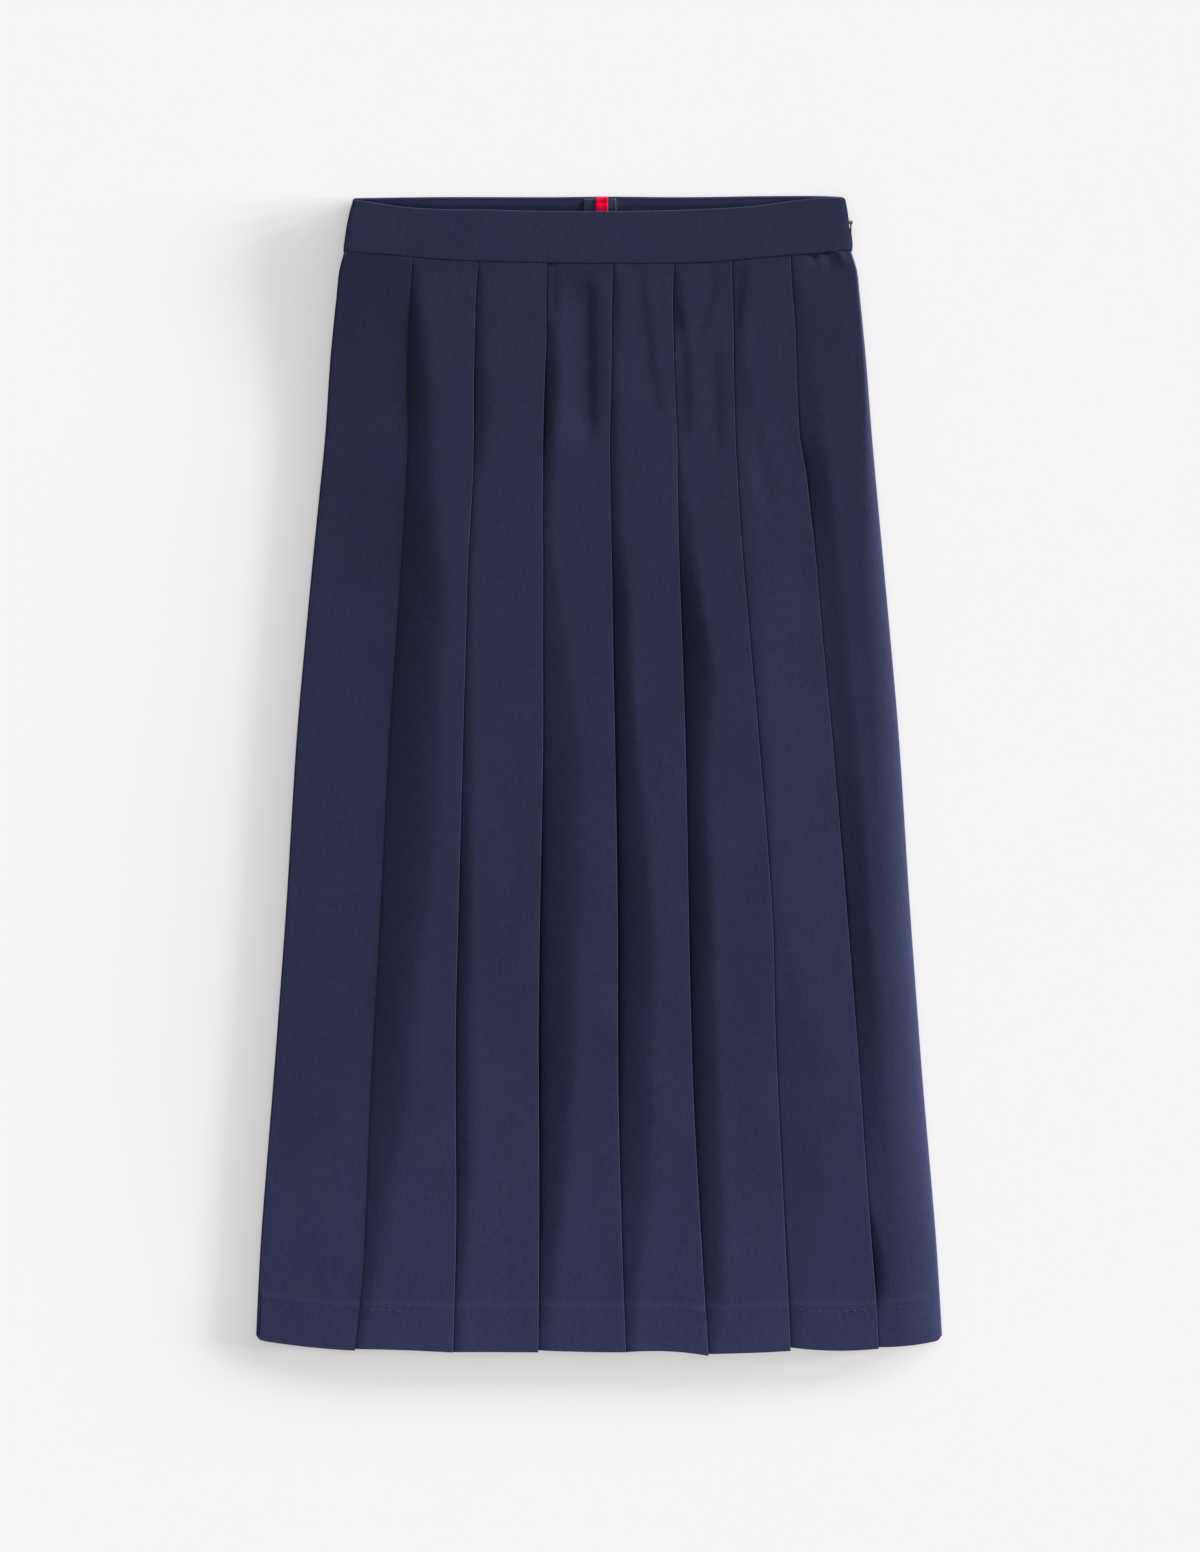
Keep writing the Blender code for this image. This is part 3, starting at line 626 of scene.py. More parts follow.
def back_line(section):
    """Back panel's middle line, worked out as seen from behind and then mirrored."""
    folds = section.folds
    left = -section.right
    right = -section.left
    line = MiddleLine()

    def panel_hem(panel, x):
        start = left if panel == 0 else folds[panel - 1]
        end = right if panel == PLEATS else folds[panel]
        return hem_height(panel, (x - start) / (end - start))

    def slope_run(k):
        return max(5.0, section.ramps[k - 1]["width"] * BACK_RAMP_SHARE)

    edge = left + WALL / 2.0
    first_hem = panel_hem(0, left)
    line.add(edge, RIGHT_SEAM - SEAM_GAP / 2.0, first_hem)
    for angle in (0.0, 30.0, 60.0, 90.0):
        turned = math.radians(angle)
        x = edge + BACK_ROUND * (1.0 - math.cos(turned))
        z = BACK_OUTER + BACK_ROUND * (1.0 - math.sin(turned))
        line.add(x, z, first_hem)
    for k, fold in enumerate(folds):
        start = left if k == 0 else folds[k - 1]
        first = edge + BACK_ROUND + 2.0 if k == 0 else start + 0.3
        last = fold - TURN_REACH
        width = fold - start
        for i in range(BACK_PANEL_COLUMNS + 1):
            x = mix(first, last - EDGE_COLUMN, (i / BACK_PANEL_COLUMNS) ** 1.4)
            down = 0.0 if k == 0 else max(0.0, 1.0 - (x - start) / slope_run(k)) ** 2
            z = mix(BACK_OUTER, BACK_FOOT, down)
            line.add(x, z, panel_hem(k, x))
        end_hem = panel_hem(k, fold)
        next_hem = panel_hem(k + 1, fold)
        for x, z in turn(last, BACK_OUTER, BACK_OUTER + LAYER_STEP, FOLD_ROUND, 4):
            line.add(x, z, end_hem)
        underlay = min((PLEAT_CLOTH - width) / 2.0, width - LEAST_PANEL_START)
        back_x = fold - underlay + TURN_REACH
        middle = BACK_OUTER + LAYER_STEP
        line.add((last + back_x) / 2.0, middle, end_hem)
        for i, (x, z) in enumerate(turn(back_x, middle, middle + LAYER_STEP, -FOLD_ROUND, 4)):
            hem = mix(end_hem, next_hem, i / 4.0) + HIDDEN_HEM_LIFT
            line.add(x, z, hem)
        for t in BACK_UNDERLAY_PLACES:
            x = mix(back_x, fold, t)
            z = mix(middle + LAYER_STEP, BACK_FOOT, smooth_step(t))
            line.add(x, z, next_hem + HIDDEN_HEM_LIFT * (1.0 - t))
    start = folds[-1]
    for step in BACK_LAST_COLUMNS:
        x = start + step
        z = mix(BACK_OUTER, BACK_FOOT, max(0.0, 1.0 - step / slope_run(PLEATS)) ** 2)
        line.add(x, z, panel_hem(PLEATS, x))
    roll_top = section.side["left_fold"]
    reach = min((roll_top - BACK_OUTER) / 2.0, LEFT_ROLL)
    centre_x = right - WALL / 2.0 - reach
    seam_x = right - LEFT_SEAM_INSET + SEAM_GAP / 2.0
    for x, z in turn(centre_x, BACK_OUTER, roll_top, reach, 10):
        over = smooth_step((z - BACK_OUTER) / (roll_top - BACK_OUTER))
        hem = mix(panel_hem(PLEATS, x), section.hem(0, -x) - BACK_HEM_LIFT, over)
        line.add(x, z, hem)
    for x in (mix(centre_x, seam_x, 0.5), seam_x + EDGE_COLUMN, seam_x):
        line.add(x, roll_top, section.hem(0, -x) - BACK_HEM_LIFT)
    return [FlatPoint(-p.x, p.z, p.hem + BACK_HEM_LIFT) for p in line]


# Rows of each panel from the hem up, in stretches: (up to this far, spacing).
FRONT_ROWS = [(0.2, 0.2), (1.4, 0.6), (26.0, 3.2), (42.0, 2.0), (110.0, 4.5), (700.0, 7.0),
              (777.0, 3.2), (780.0, 0.4)]
BACK_ROWS = [(0.2, 0.2), (40.0, 4.0), (700.0, 10.0), (780.0, 4.0)]


def row_heights(stretches):
    at = 0.0
    heights = [HEM_HEIGHT]
    for end, spacing in stretches:
        count = max(1, round((end - at) / spacing))
        heights += [HEM_HEIGHT + mix(at, end, i / count) for i in range(1, count + 1)]
        at = end
    return heights


def hem_relief(x, above):
    """The doubled hem stands proud, with a soft, uneven ridge along its upper edge."""
    doubled = HEM_STEP * smooth_step((HEM_DEPTH + HEM_STEP_RUN / 2.0 - above) / HEM_STEP_RUN)
    strength = HEM_RIDGE + HEM_RIDGE * ripple(x / 17.0, 0.0, 5.2)
    ridge = strength * math.exp(-((above - HEM_DEPTH) / HEM_RIDGE_RUN) ** 2)
    return doubled + ridge


def pleated_panel(name, line_of, stretches, relief):
    rows = []
    for height in row_heights(stretches):
        section = FrontSection(height)
        row = []
        run = 0.0
        before = None
        for point in line_of(section):
            top = seam_line(point.x) - BAND_SEAM_GAP / 2.0
            y = mix(point.hem, top, section.share)
            above = y - point.hem
            z = point.z + relief(point, y, above, top - y)
            if before is not None:
                run += math.hypot(point.x - before[0], z - before[1])
            before = (point.x, z)
            row.append((point.x, y, z, run, above))
        rows.append(row)
    return sheet_object(name, rows, WALL, even=True)


def front_relief(point, y, above, below):
    wave = ripple(point.x / 38.0, y / 70.0, 3.7)
    inside = point.x - OUTLINE["left"](y)
    calm = smooth_step(inside / 25.0) * smooth_step(below / 12.0)
    return FRONT_WAVE * wave * calm + hem_relief(point.x, above)


def back_relief(point, y, above, below):
    """The back lies on the floor, so its creases only lift it."""
    from_sides = min(point.x - OUTLINE["left"](y), OUTLINE["right"](y) - point.x)
    calm = smooth_step((from_sides - 4.0) / 16.0) * smooth_step((below - 3.0) / 20.0)
    calm *= smooth_step((above - 1.0) / 14.0)
    wave = 0.5 + 0.5 * ripple(point.x / 34.0, y / 80.0, 9.3)
    lift = sum(crease_depth(crease, point.x, y) for crease in BACK_CREASES)
    return (BACK_WAVE * wave + lift) * calm


# ---------------------------------------------------------------- the waistbands
def band_row_height(share):
    return mix(BAND_SIDES[-1].y, BAND_SIDES[0].y, share)


def front_band_outer(x, share, seam_distance):
    """Outer face of the front band at share from its seam up to its top edge."""
    from_left = max(0.0, x - band_left(band_row_height(share)))
    from_right = max(0.0, band_right(band_row_height(share)) - x)
    left = 1.0 - smooth_step(from_left / BAND_SIDE_TAPER)
    right = 1.0 - smooth_step(from_right / BAND_SIDE_TAPER)
    face = (BAND_OUTER_MIDDLE + (BAND_OUTER_LEFT - BAND_OUTER_MIDDLE) * left
            + (BAND_OUTER_RIGHT - BAND_OUTER_MIDDLE) * right)
    seam = BAND_SIDE_SEAM * math.exp(-((from_left - BAND_LEFT_SEAM) / 0.45) ** 2)
    seam += BAND_RIGHT_FALL * max(0.0, 1.0 - from_right / BAND_RIGHT_RUN) ** 2
    inside = max(0.0, 1.0 - from_left / BAND_ROLL)
    lowest = BACK_BAND + SEAM_GAP + FRONT_BAND / 2.0
    face = lowest + (face - lowest) * math.sqrt(max(0.0, 1.0 - inside * inside))
    groove = GROOVE * max(0.0, 1.0 - seam_distance / GROOVE_RUN) ** 2
    wave = ripple(x / 30.0, share * 1.6, 8.1)
    return face - seam - groove + BAND_WAVE * wave


def rounded_top(line, x, row_y):
    """A band's top edge, rounded at its two corners."""
    from_end = min(x - band_left(row_y), band_right(row_y) - x)
    inside = max(0.0, 1.0 - from_end / BAND_CORNER)
    return line(x) - BAND_CORNER * (1.0 - math.sqrt(max(0.0, 1.0 - inside * inside)))


BAND_PLY_SHARES = (0.0, 0.008, 0.018, 0.035, 0.12, 0.3, 0.5, 0.65, 0.74, 0.79, 0.83, 0.87,
                   0.91, 0.94, 0.97, 0.99)
BAND_FOLD_STEPS = 8
BAND_END_STEPS = (0.0, 0.2, 0.5, 1.0, 1.6, 2.2, 2.8, 3.6, 5.0, 7.0)
BAND_COLUMNS = 110


def band_rows(line, outer_of, thickness_of, up):
    """A band folded double at its top edge: rows along x from the inner ply's lower edge,
    over the fold and down the outer ply. `up` is the side that the outer ply faces."""
    steps = [("inner", share) for share in BAND_PLY_SHARES]
    steps += [("fold", math.pi * i / BAND_FOLD_STEPS) for i in range(BAND_FOLD_STEPS + 1)]
    steps += [("outer", share) for share in reversed(BAND_PLY_SHARES)]
    rows = []
    run = 0.0
    before = None
    for kind, value in steps:
        share = 1.0 if kind == "fold" else value
        row_y = band_row_height(share)
        left, right = band_left(row_y), band_right(row_y)
        first, last = left + BAND_END_STEPS[-1], right - BAND_END_STEPS[-1]
        xs = [left + step for step in BAND_END_STEPS]
        xs += [mix(first, last, i / BAND_COLUMNS) for i in range(1, BAND_COLUMNS)]
        xs += [right - step for step in reversed(BAND_END_STEPS)]
        row = []
        for x in xs:
            thickness = thickness_of(x)
            radius = (thickness - BAND_PLY) / 2.0
            low = seam_line(x) + BAND_SEAM_GAP / 2.0
            high = rounded_top(line, x, row_y) - thickness / 2.0
            y = mix(low, high, share)
            outer = outer_of(x, share, y - low)
            if kind == "fold":
                y += radius * math.sin(value)
                depth = BAND_PLY / 2.0 + radius * (1.0 + math.cos(value))
            else:
                depth = BAND_PLY / 2.0 if kind == "outer" else thickness - BAND_PLY / 2.0
            row.append((x, y, outer - up * depth))
        middle = row[len(row) // 2]
        if before is not None:
            run += math.hypot(middle[1] - before[1], middle[2] - before[2])
        before = middle
        rows.append([(x, y, z, x, run) for x, y, z in row])
    return rows


def band_thickness(full):
    """Thickness along a band as a function of x."""
    def thickness(x):
        from_zip = BAND_SIDES[0].right - x
        return mix(BAND_AT_ZIP, full, smooth_step(from_zip / BAND_ZIP_TAPER))
    return thickness


def front_band():
    rows = band_rows(front_top_line, front_band_outer, band_thickness(FRONT_BAND), 1.0)
    return sheet_object("front_band_cloth", rows, BAND_PLY)


def back_curl(x, y):
    """The back band's top edge curls up a little where the front one leaves it free."""
    free = back_top_line(x) - front_top_line(x)
    down = back_top_line(x) - y
    if down >= free:
        return 0.0
    return BACK_CURL * free * (1.0 - (max(down, 0.0) / free) ** BACK_CURL_POWER)


def back_band():
    def outer(x, share, distance):
        return back_curl(x, seam_line(x) + BAND_SEAM_GAP / 2.0 + distance)

    rows = band_rows(back_top_line, outer, band_thickness(BACK_BAND), -1.0)
    return sheet_object("back_band_cloth", rows, BAND_PLY)


# ---------------------------------------------------------------- patch, tab, thread and zip
def patch_height(node, x, y):
    """Height of the middle of the label or the tab, which follow the curl of the band."""
    return BACK_BAND + (LABEL_RISE if node == "label_patch" else TAB_RISE) + back_curl(x, y)


def edges_of(box):
    """Left, lower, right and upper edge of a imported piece's box, in mm."""
    (left, low, _), (right, high, _) = [[c / MM for c in corner] for corner in box]
    return left, low, right, high


def patch_cloth(name, node, lift_of):
    """Small piece of ribbon in the place of a packed one, its edges a little down."""
    left, low, right, high = edges_of(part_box(node))
    columns, lines = 30, 24
    rows = []
    for i in range(lines + 1):
        y = mix(high, low, i / lines)
        row = []
        for j in range(columns + 1):
            x = mix(left, right, j / columns)
            from_edge = min(x - left, right - x, high - y, y - low)
            z = (patch_height(node, x, y)
                 - PATCH_EDGE_FALL * math.exp(-from_edge / PATCH_EDGE_RUN))
            row.append((x, y, z + lift_of(x - left, high - y), x - left, high - y))
        rows.append(row)
    return sheet_object(name, rows, PATCH_THICKNESS)


def label_lift(x, down):
    return LABEL_WAVE * ripple(x / 6.0, down / 6.0, 2.2)


def tab_lift(x, down):
    """The tab is folded over near its top, sewn there, and lies a little wavy."""
    crease = -TAB_CREASE_DEPTH * math.exp(-((down - TAB_CREASE) / 0.4) ** 2)
    dimples = sum(-TAB_DIMPLE * math.exp(-((x - at) ** 2 + (down - TAB_STITCH_ROW) ** 2) / 0.5)
                  for at in TAB_STITCHES)
    return crease + dimples + TAB_WAVE * math.sin(x * 0.9 + 0.4)


# A sewing stitch: where it goes in and comes out, its radius and how far its middle stands up.
Stitch = namedtuple("Stitch", "start end radius lift")


def ring(bm, centre, side, up, radius, sides):
    """Corners round a centre, in the plane of two directions."""
    turns = [2.0 * math.pi * k / sides for k in range(sides)]
    return [bm.verts.new((centre + (side * math.cos(t) + up * math.sin(t)) * radius) * MM)
            for t in turns]


def thread_piece(name, sewn):
    """All stitches of one kind as one mesh, each a short thread whose ends go into the cloth."""
    rings, sides = 6, 6
    bm = bmesh.new()
    uv_layer = bm.loops.layers.uv.new("cloth")
    for stitch in sewn:
        start, end = Vector(stitch.start), Vector(stitch.end)
        along = (end - start).normalized()
        side = along.cross(Vector((0.0, 0.0, 1.0))).normalized()
        up = side.cross(along)
        grid = []
        for i in range(rings):
            t = i / (rings - 1)
            centre = start.lerp(end, t) + Vector((0.0, 0.0, stitch.lift * math.sin(math.pi * t)))
            radius = stitch.radius * mix(THREAD_END, 1.0, math.sin(math.pi * t))
            grid.append(ring(bm, centre, side, up, radius, sides))
        length = (end - start).length
        for i in range(rings - 1):
            for k in range(sides):
                nxt = (k + 1) % sides
                face = bm.faces.new((grid[i][k], grid[i][nxt], grid[i + 1][nxt], grid[i + 1][k]))
                face.smooth = True
                for loop, (a, b) in zip(face.loops, ((i, k), (i, k + 1), (i + 1, k + 1),
                                                     (i + 1, k))):
                    loop[uv_layer].uv = (a / (rings - 1) * length * MM, b / sides * MM)
        for end_ring in (list(reversed(grid[0])), grid[-1]):
            bm.faces.new(end_ring)
    bmesh.ops.recalc_face_normals(bm, faces=bm.faces[:])
    return mesh_object(name, bm)


def stitch_places(first, last, pitch):
    return [first + pitch * (i + 0.5) for i in range(int((last - first) / pitch))]


def hem_stitches():
    """Blind stitches that show as small, uneven dashes above the hem."""
    share = HEM_STITCH_HEIGHT / (TOP_HEIGHT - HEM_HEIGHT)
    section = FrontSection(HEM_HEIGHT + HEM_STITCH_HEIGHT)
    sewn = []
    for panel in range(PLEATS + 1):
        start = section.start(panel) + (6.0 if panel else 4.0)
        end = section.end(panel) - (3.0 if panel < PLEATS else section.side["right_round"] * 0.4)
        for x in stitch_places(start, end, HEM_STITCH_PITCH):
            tight = ripple(x / 9.0, panel * 3.1, 0.7)
            x += 1.2 * tight
            hem = section.hem(panel, x)
            y = mix(hem, seam_line(x), share) + 0.6 * tight
            z = section.outer(panel, x) + WALL / 2.0 + HEM_STEP - THREAD_SINK
            radius = HEM_THREAD_CLEAR if panel in HEM_STITCH_CLEAR else HEM_THREAD + 0.05 * tight
            length = 1.3 + 0.5 * tight
            sewn.append(Stitch((x - length, y, z), (x + length, y + 0.1, z), radius, 0.04))
    return thread_piece("hem_stitches", sewn)


def back_hem_stitches():
    """The same along the hidden panel's hem."""
    sewn = []
    section = FrontSection(HEM_HEIGHT + HEM_STITCH_HEIGHT)
    for panel in range(PLEATS + 1):
        start, end = section.start(panel) + 9.0, section.end(panel) - 3.0
        for x in stitch_places(start, end, HEM_STITCH_PITCH):
            tight = ripple(x / 9.0, panel * 3.1, 4.7)
            y = hem_height(panel, 0.5) + BACK_HEM_LIFT + HEM_STITCH_HEIGHT + 0.5 * tight
            sewn.append(Stitch((-x - 1.3, y, THREAD_SINK), (-x + 1.3, y, THREAD_SINK),
                               HEM_THREAD, 0.0))
    return thread_piece("back_hem_stitches", sewn)


def band_stitches():
    """Thread that shows in the seam under the band: plain at its left end, tight elsewhere."""
    sewn = []
    first, last = band_left(BAND_SIDES[-1].y) + 2.0, band_right(BAND_SIDES[-1].y) - 4.0
    for x in stitch_places(first, last, BAND_STITCH_PITCH):
        loose = 1.0 - smooth_step((x - first - 16.0) / 14.0)
        loose = max(loose, 0.35 + 0.5 * ripple(x / 14.0, 0.0, 6.6))
        low = seam_line(x) + BAND_SEAM_GAP / 2.0
        z = front_band_outer(x, 0.0, 0.0) - 0.05
        start = (x - 0.15, low - 0.7, z - 0.1)
        end = (x + 0.25, low + 0.45, z)
        extra = BAND_THREAD_LOOSE * loose
        sewn.append(Stitch(start, end, BAND_THREAD + extra, extra))
    return thread_piece("band_stitches", sewn)


def band_edge_stitches():
    """Row of stitches along the inside of the back band's top edge."""
    sewn = []
    left, right = band_left(BAND_SIDES[0].y) + 6.0, band_right(BAND_SIDES[0].y) - 6.0
    for x in stitch_places(left, right, EDGE_STITCH_PITCH):
        y = back_top_line(x) - EDGE_STITCH_DOWN
        half = EDGE_STITCH_PITCH * 0.36
        z = BACK_BAND + back_curl(x, y) + 0.02
        sewn.append(Stitch((x - half, y, z), (x + half, y, z), EDGE_THREAD, 0.04))
    return thread_piece("band_edge_stitches", sewn)


def label_stitches():
    """Slanting stitches over both sides of the label patch."""
    left, low, right, high = edges_of(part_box("label_patch"))
    sewn = []
    count = int((high - low - 1.0) / LABEL_STITCH_PITCH)
    for edge, away in ((left, -1.0), (right, 1.0)):
        for i in range(count):
            y = high - 0.9 - LABEL_STITCH_PITCH * i
            outer = (edge + away * 1.3, y - 1.1, BACK_BAND + 0.1 + back_curl(edge, y - 1.1))
            inner = (edge - away * 0.9, y,
                     patch_height("label_patch", edge, y) + PATCH_THICKNESS / 2.0)
            sewn.append(Stitch(outer, inner, LABEL_THREAD, 0.22))
    return thread_piece("label_stitches", sewn)


def tab_stitches():
    """Dark red stitches that hold the tab near its top."""
    left, _, _, high = edges_of(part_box("red_tab"))
    sewn = []
    for at in TAB_STITCHES:
        x, y = left + at, high - TAB_STITCH_ROW
        z = patch_height("red_tab", x, y) + PATCH_THICKNESS / 2.0 - TAB_DIMPLE
        sewn.append(Stitch((x - 0.75, y - 0.1, z), (x + 0.75, y + 0.1, z), TAB_THREAD, 0.05))
    return thread_piece("tab_stitches", sewn)


def zip_tape():
    """The two woven tapes of the zip, just inside the lips of the band."""
    run_steps = 24
    for name, z, slant in (("zip_tape_front", ZIP_TAPE_FRONT, -1.0),
                           ("zip_tape_back", ZIP_TAPE_BACK, 1.0)):
        rows = []
        for i in range(run_steps + 1):
            y = mix(ZIP_TOP, ZIP_BOTTOM, i / run_steps)
            right = band_right(max(y, BAND_SIDES[-1].y)) - ZIP_TAPE_INSET
            row = []
            for share in (0.0, 0.3, 0.6, 0.8, 0.9, 0.96, 1.0):
                x = mix(right - ZIP_TAPE_WIDTH, right, share)
                bead = ZIP_BEAD * math.exp(-((share - 0.9) / 0.05) ** 2)
                row.append((x, y, z + slant * bead, x, y))
            rows.append(row)
        yield sheet_object(name, rows, ZIP_TAPE_THICKNESS)


def zip_teeth():
    """Closed coil below the slider: loops of nylon that lie over one another in turn."""
    bm = bmesh.new()
    sides, steps = 6, 10
    upwards = Vector((0.0, 1.0, 0.0))
    count = int((ZIP_CLOSED_TOP - ZIP_BOTTOM) / ZIP_TOOTH_PITCH)
    for i in range(count):
        y = ZIP_BOTTOM + ZIP_TOOTH_PITCH * (i + 0.5)
        side = 1.0 if i % 2 else -1.0
        centre = Vector((band_right(max(y, BAND_SIDES[-1].y)) - ZIP_TEETH_INSET, y, ZIP_MIDDLE))
        grid = []
        for k in range(steps):
            angle = 2.0 * math.pi * k / steps
            radial = Vector((math.cos(angle) * ZIP_LOOP_HALF_WIDTH, 0.0,
                             math.sin(angle) * ZIP_LOOP_HALF_HEIGHT))
            at = centre + Vector((0.0, 0.0, side * ZIP_LOOP_OFFSET)) + radial
            grid.append(ring(bm, at, radial.normalized(), upwards, ZIP_TOOTH_RADIUS, sides))
        for k in range(steps):
            for m in range(sides):
                a, b = grid[k], grid[(k + 1) % steps]
                n = (m + 1) % sides
                bm.faces.new((a[m], a[n], b[n], b[m])).smooth = True
    bmesh.ops.recalc_face_normals(bm, faces=bm.faces[:])
    return mesh_object("zip_teeth", bm)


# ---------------------------------------------------------------- materials
class Shade:
    """A new material, with short ways to add the nodes that the looks are made of."""

    def __init__(self, name):
        self.material = bpy.data.materials.new(name)
        self.material.use_nodes = True
        self.tree = self.material.node_tree
        self.shader = self.tree.nodes["Principled BSDF"]

    def node(self, kind, **settings):
        made = self.tree.nodes.new("ShaderNode" + kind)
        for name, value in settings.items():
            setattr(made, name, value)
        return made

    def feed(self, socket, value):
        """Link a socket to another node's output, or give it a value of its own."""
        if isinstance(value, bpy.types.NodeSocket):
            self.tree.links.new(value, socket)
        else:
            socket.default_value = value

    def place(self):
        return self.node("TexCoord").outputs["Object"]

    def uv(self):
        return self.node("UVMap", uv_map="cloth").outputs["UV"]

    def parts(self, vector):
        node = self.node("SeparateXYZ")
        self.feed(node.inputs["Vector"], vector)
        return node.outputs["X"], node.outputs["Y"]

    def math(self, operation, a, b=None):
        node = self.node("Math", operation=operation)
        self.feed(node.inputs[0], a)
        if b is not None:
            self.feed(node.inputs[1], b)
        return node.outputs[0]

    def blend(self, *shares):
        """Sum of (output, share), each output times its share."""
        total = None
        for output, share in shares:
            term = output if share == 1 else self.math("MULTIPLY", output, share)
            total = term if total is None else self.math("ADD", total, term)
        return total

    def noise(self, scale, detail=2.0, stretch=None):
        """Noise of a given number of features for each metre."""
        vector = self.place()
        if stretch is not None:
            mapping = self.node("Mapping")
            mapping.inputs["Scale"].default_value = stretch
            self.feed(mapping.inputs["Vector"], vector)
            vector = mapping.outputs["Vector"]
        node = self.node("TexNoise")
        self.feed(node.inputs["Scale"], scale)
        self.feed(node.inputs["Detail"], detail)
        self.feed(node.inputs["Vector"], vector)
        return node.outputs["Fac"]

    def ribs(self, coordinate, pitch):
        """0 to 1 and back once in each pitch."""
        turns = self.math("MULTIPLY", coordinate, 2.0 * math.pi / (pitch * MM))
        wave = self.math("SINE", turns)
        return self.math("ADD", self.math("MULTIPLY", wave, 0.5), 0.5)

    def ramp(self, fac, *stops):
        """Colours at places from 0 to 1."""
        node = self.node("ValToRGB")
        elements = node.color_ramp.elements
        while len(elements) < len(stops):
            elements.new(0.5)
        for element, (place, colour) in zip(elements, stops):
            element.position = place
            element.color = (*colour, 1.0)
        self.feed(node.inputs["Fac"], fac)
        return node.outputs["Color"]

    def times(self, a, b):
        """Product of two colours."""
        node = self.node("Mix", data_type="RGBA", blend_type="MULTIPLY")
        node.inputs["Factor"].default_value = 1.0
        self.feed(node.inputs[6], a)
        self.feed(node.inputs[7], b)
        return node.outputs[2]

    def bump(self, height, depth, strength):
        node = self.node("Bump")
        self.feed(node.inputs["Strength"], strength)
        self.feed(node.inputs["Distance"], depth * MM)
        self.feed(node.inputs["Height"], height)
        self.feed(self.shader.inputs["Normal"], node.outputs["Normal"])

    def finish(self, colour, roughness, specular=None, **others):
        """Set the shader's own sockets. In the names of others, _ stands for a space."""
        values = {"Base Color": colour, "Roughness": roughness}
        if specular is not None:
            values["Specular IOR Level"] = specular
        for name, value in others.items():
            values[name.replace("_", " ")] = value
        for name, value in values.items():
            self.feed(self.shader.inputs[name], value)
        return self.material


# Painted light: how much lighter the skirt's colour is made, at places from the hem to the
# waist.
PAINTED_LIGHT_UP_SKIRT = [(0.0, 1.52), (0.05, 1.46), (0.13, 1.44), (0.26, 1.23), (0.40, 1.13), (0.52, 1.09),
             (0.65, 1.02), (0.80, 0.97), (0.87, 0.925), (0.95, 0.85), (1.0, 0.85)]
BAND_LIGHTNESS = [(0.0, 0.95), (1.0, 0.95)]
THREAD_PITCH = 0.55


def cloth_material(name, painted_lightness_stops):
    """Navy crepe: slubs both ways, soft clouds of tone and hue, a plain weave, and painted light
    up the skirt.
    """
    shade = Shade(name)
    slubs = shade.noise(620.0, 2.0, (1.0, 0.25, 1.0))
    crossing = shade.noise(620.0, 1.0, (0.25, 1.0, 1.0))
    cloud = shade.noise(30.0, 4.0, (1.0, 0.5, 1.0))
    mottle = shade.blend((slubs, 0.5), (crossing, 0.2), (cloud, 0.3))
    colour = shade.ramp(mottle, (0.3, [c * 0.82 for c in NAVY]), (0.7, [c * 1.20 for c in NAVY]))
    hue = shade.noise(42.0, 3.0, (1.0, 0.6, 1.0))
    tint = shade.ramp(hue, (0.38, (1.03, 0.97, 1.0)), (0.62, (0.96, 1.05, 0.99)))
    colour = shade.times(colour, tint)

    # painted light: the stops make the colour lighter towards the hem and darker towards the
    # waist
    # a ramp's colours end at 1, so it holds half the lightness and is doubled after it
    _, y = shade.parts(shade.place())
    bottom, top = cad_box[0][1], cad_box[1][1]
    up = shade.math("DIVIDE", shade.math("SUBTRACT", y, bottom), top - bottom)
    double = shade.node("VectorMath", operation="SCALE")
    double.inputs["Scale"].default_value = 2.0
    half = [(at, [level / 2.0] * 3) for at, level in painted_lightness_stops]
    shade.feed(double.inputs[0], shade.ramp(up, *half))

    turns = math.pi / (THREAD_PITCH * MM)
    across, along = [shade.math("SINE", shade.math("MULTIPLY", part, turns))
                     for part in shade.parts(shade.uv())]
    weave = shade.math("MULTIPLY", across, along)
    crepe = shade.noise(1500.0, 3.0)
    shade.bump(shade.blend((weave, 0.35), (crepe, 1), (slubs, 1)), 0.12, 0.25)
    return shade.finish(shade.times(colour, double.outputs["Vector"]), 0.82, 0.12,
                        Sheen_Weight=0.05, Sheen_Roughness=0.45,
                        Sheen_Tint=(0.75, 0.8, 1.0, 1.0))


def label_material():
    """Smooth woven patch with a fine slanting line."""
    shade = Shade("navy_satin")
    u, v = shade.parts(shade.uv())
    slant = shade.ribs(shade.blend((u, 1), (v, 1)), 0.9)
    weave = shade.blend((slant, 0.5), (shade.noise(380.0, 3.0), 0.5))
    shade.bump(weave, 0.08, 0.5)
    return shade.finish(shade.ramp(weave, (0.25, (0.020, 0.024, 0.050)),
                                   (0.75, (0.034, 0.038, 0.074))), 0.5, 0.15)


def tab_material():
    """Red ribbon with upright ribs and finer ones across."""
    shade = Shade("red_ribbon")
    u, v = shade.parts(shade.uv())
    weave = shade.blend((shade.ribs(u, 1.35), 0.4), (shade.ribs(v, 0.42), 0.2),
                        (shade.noise(500.0, 3.0), 0.4))
    shade.bump(weave, 0.12, 0.5)
    return shade.finish(shade.ramp(weave, (0.2, (0.62, 0.0010, 0.020)),
                                   (0.8, (0.98, 0.0030, 0.046))), 0.55, 0.05)


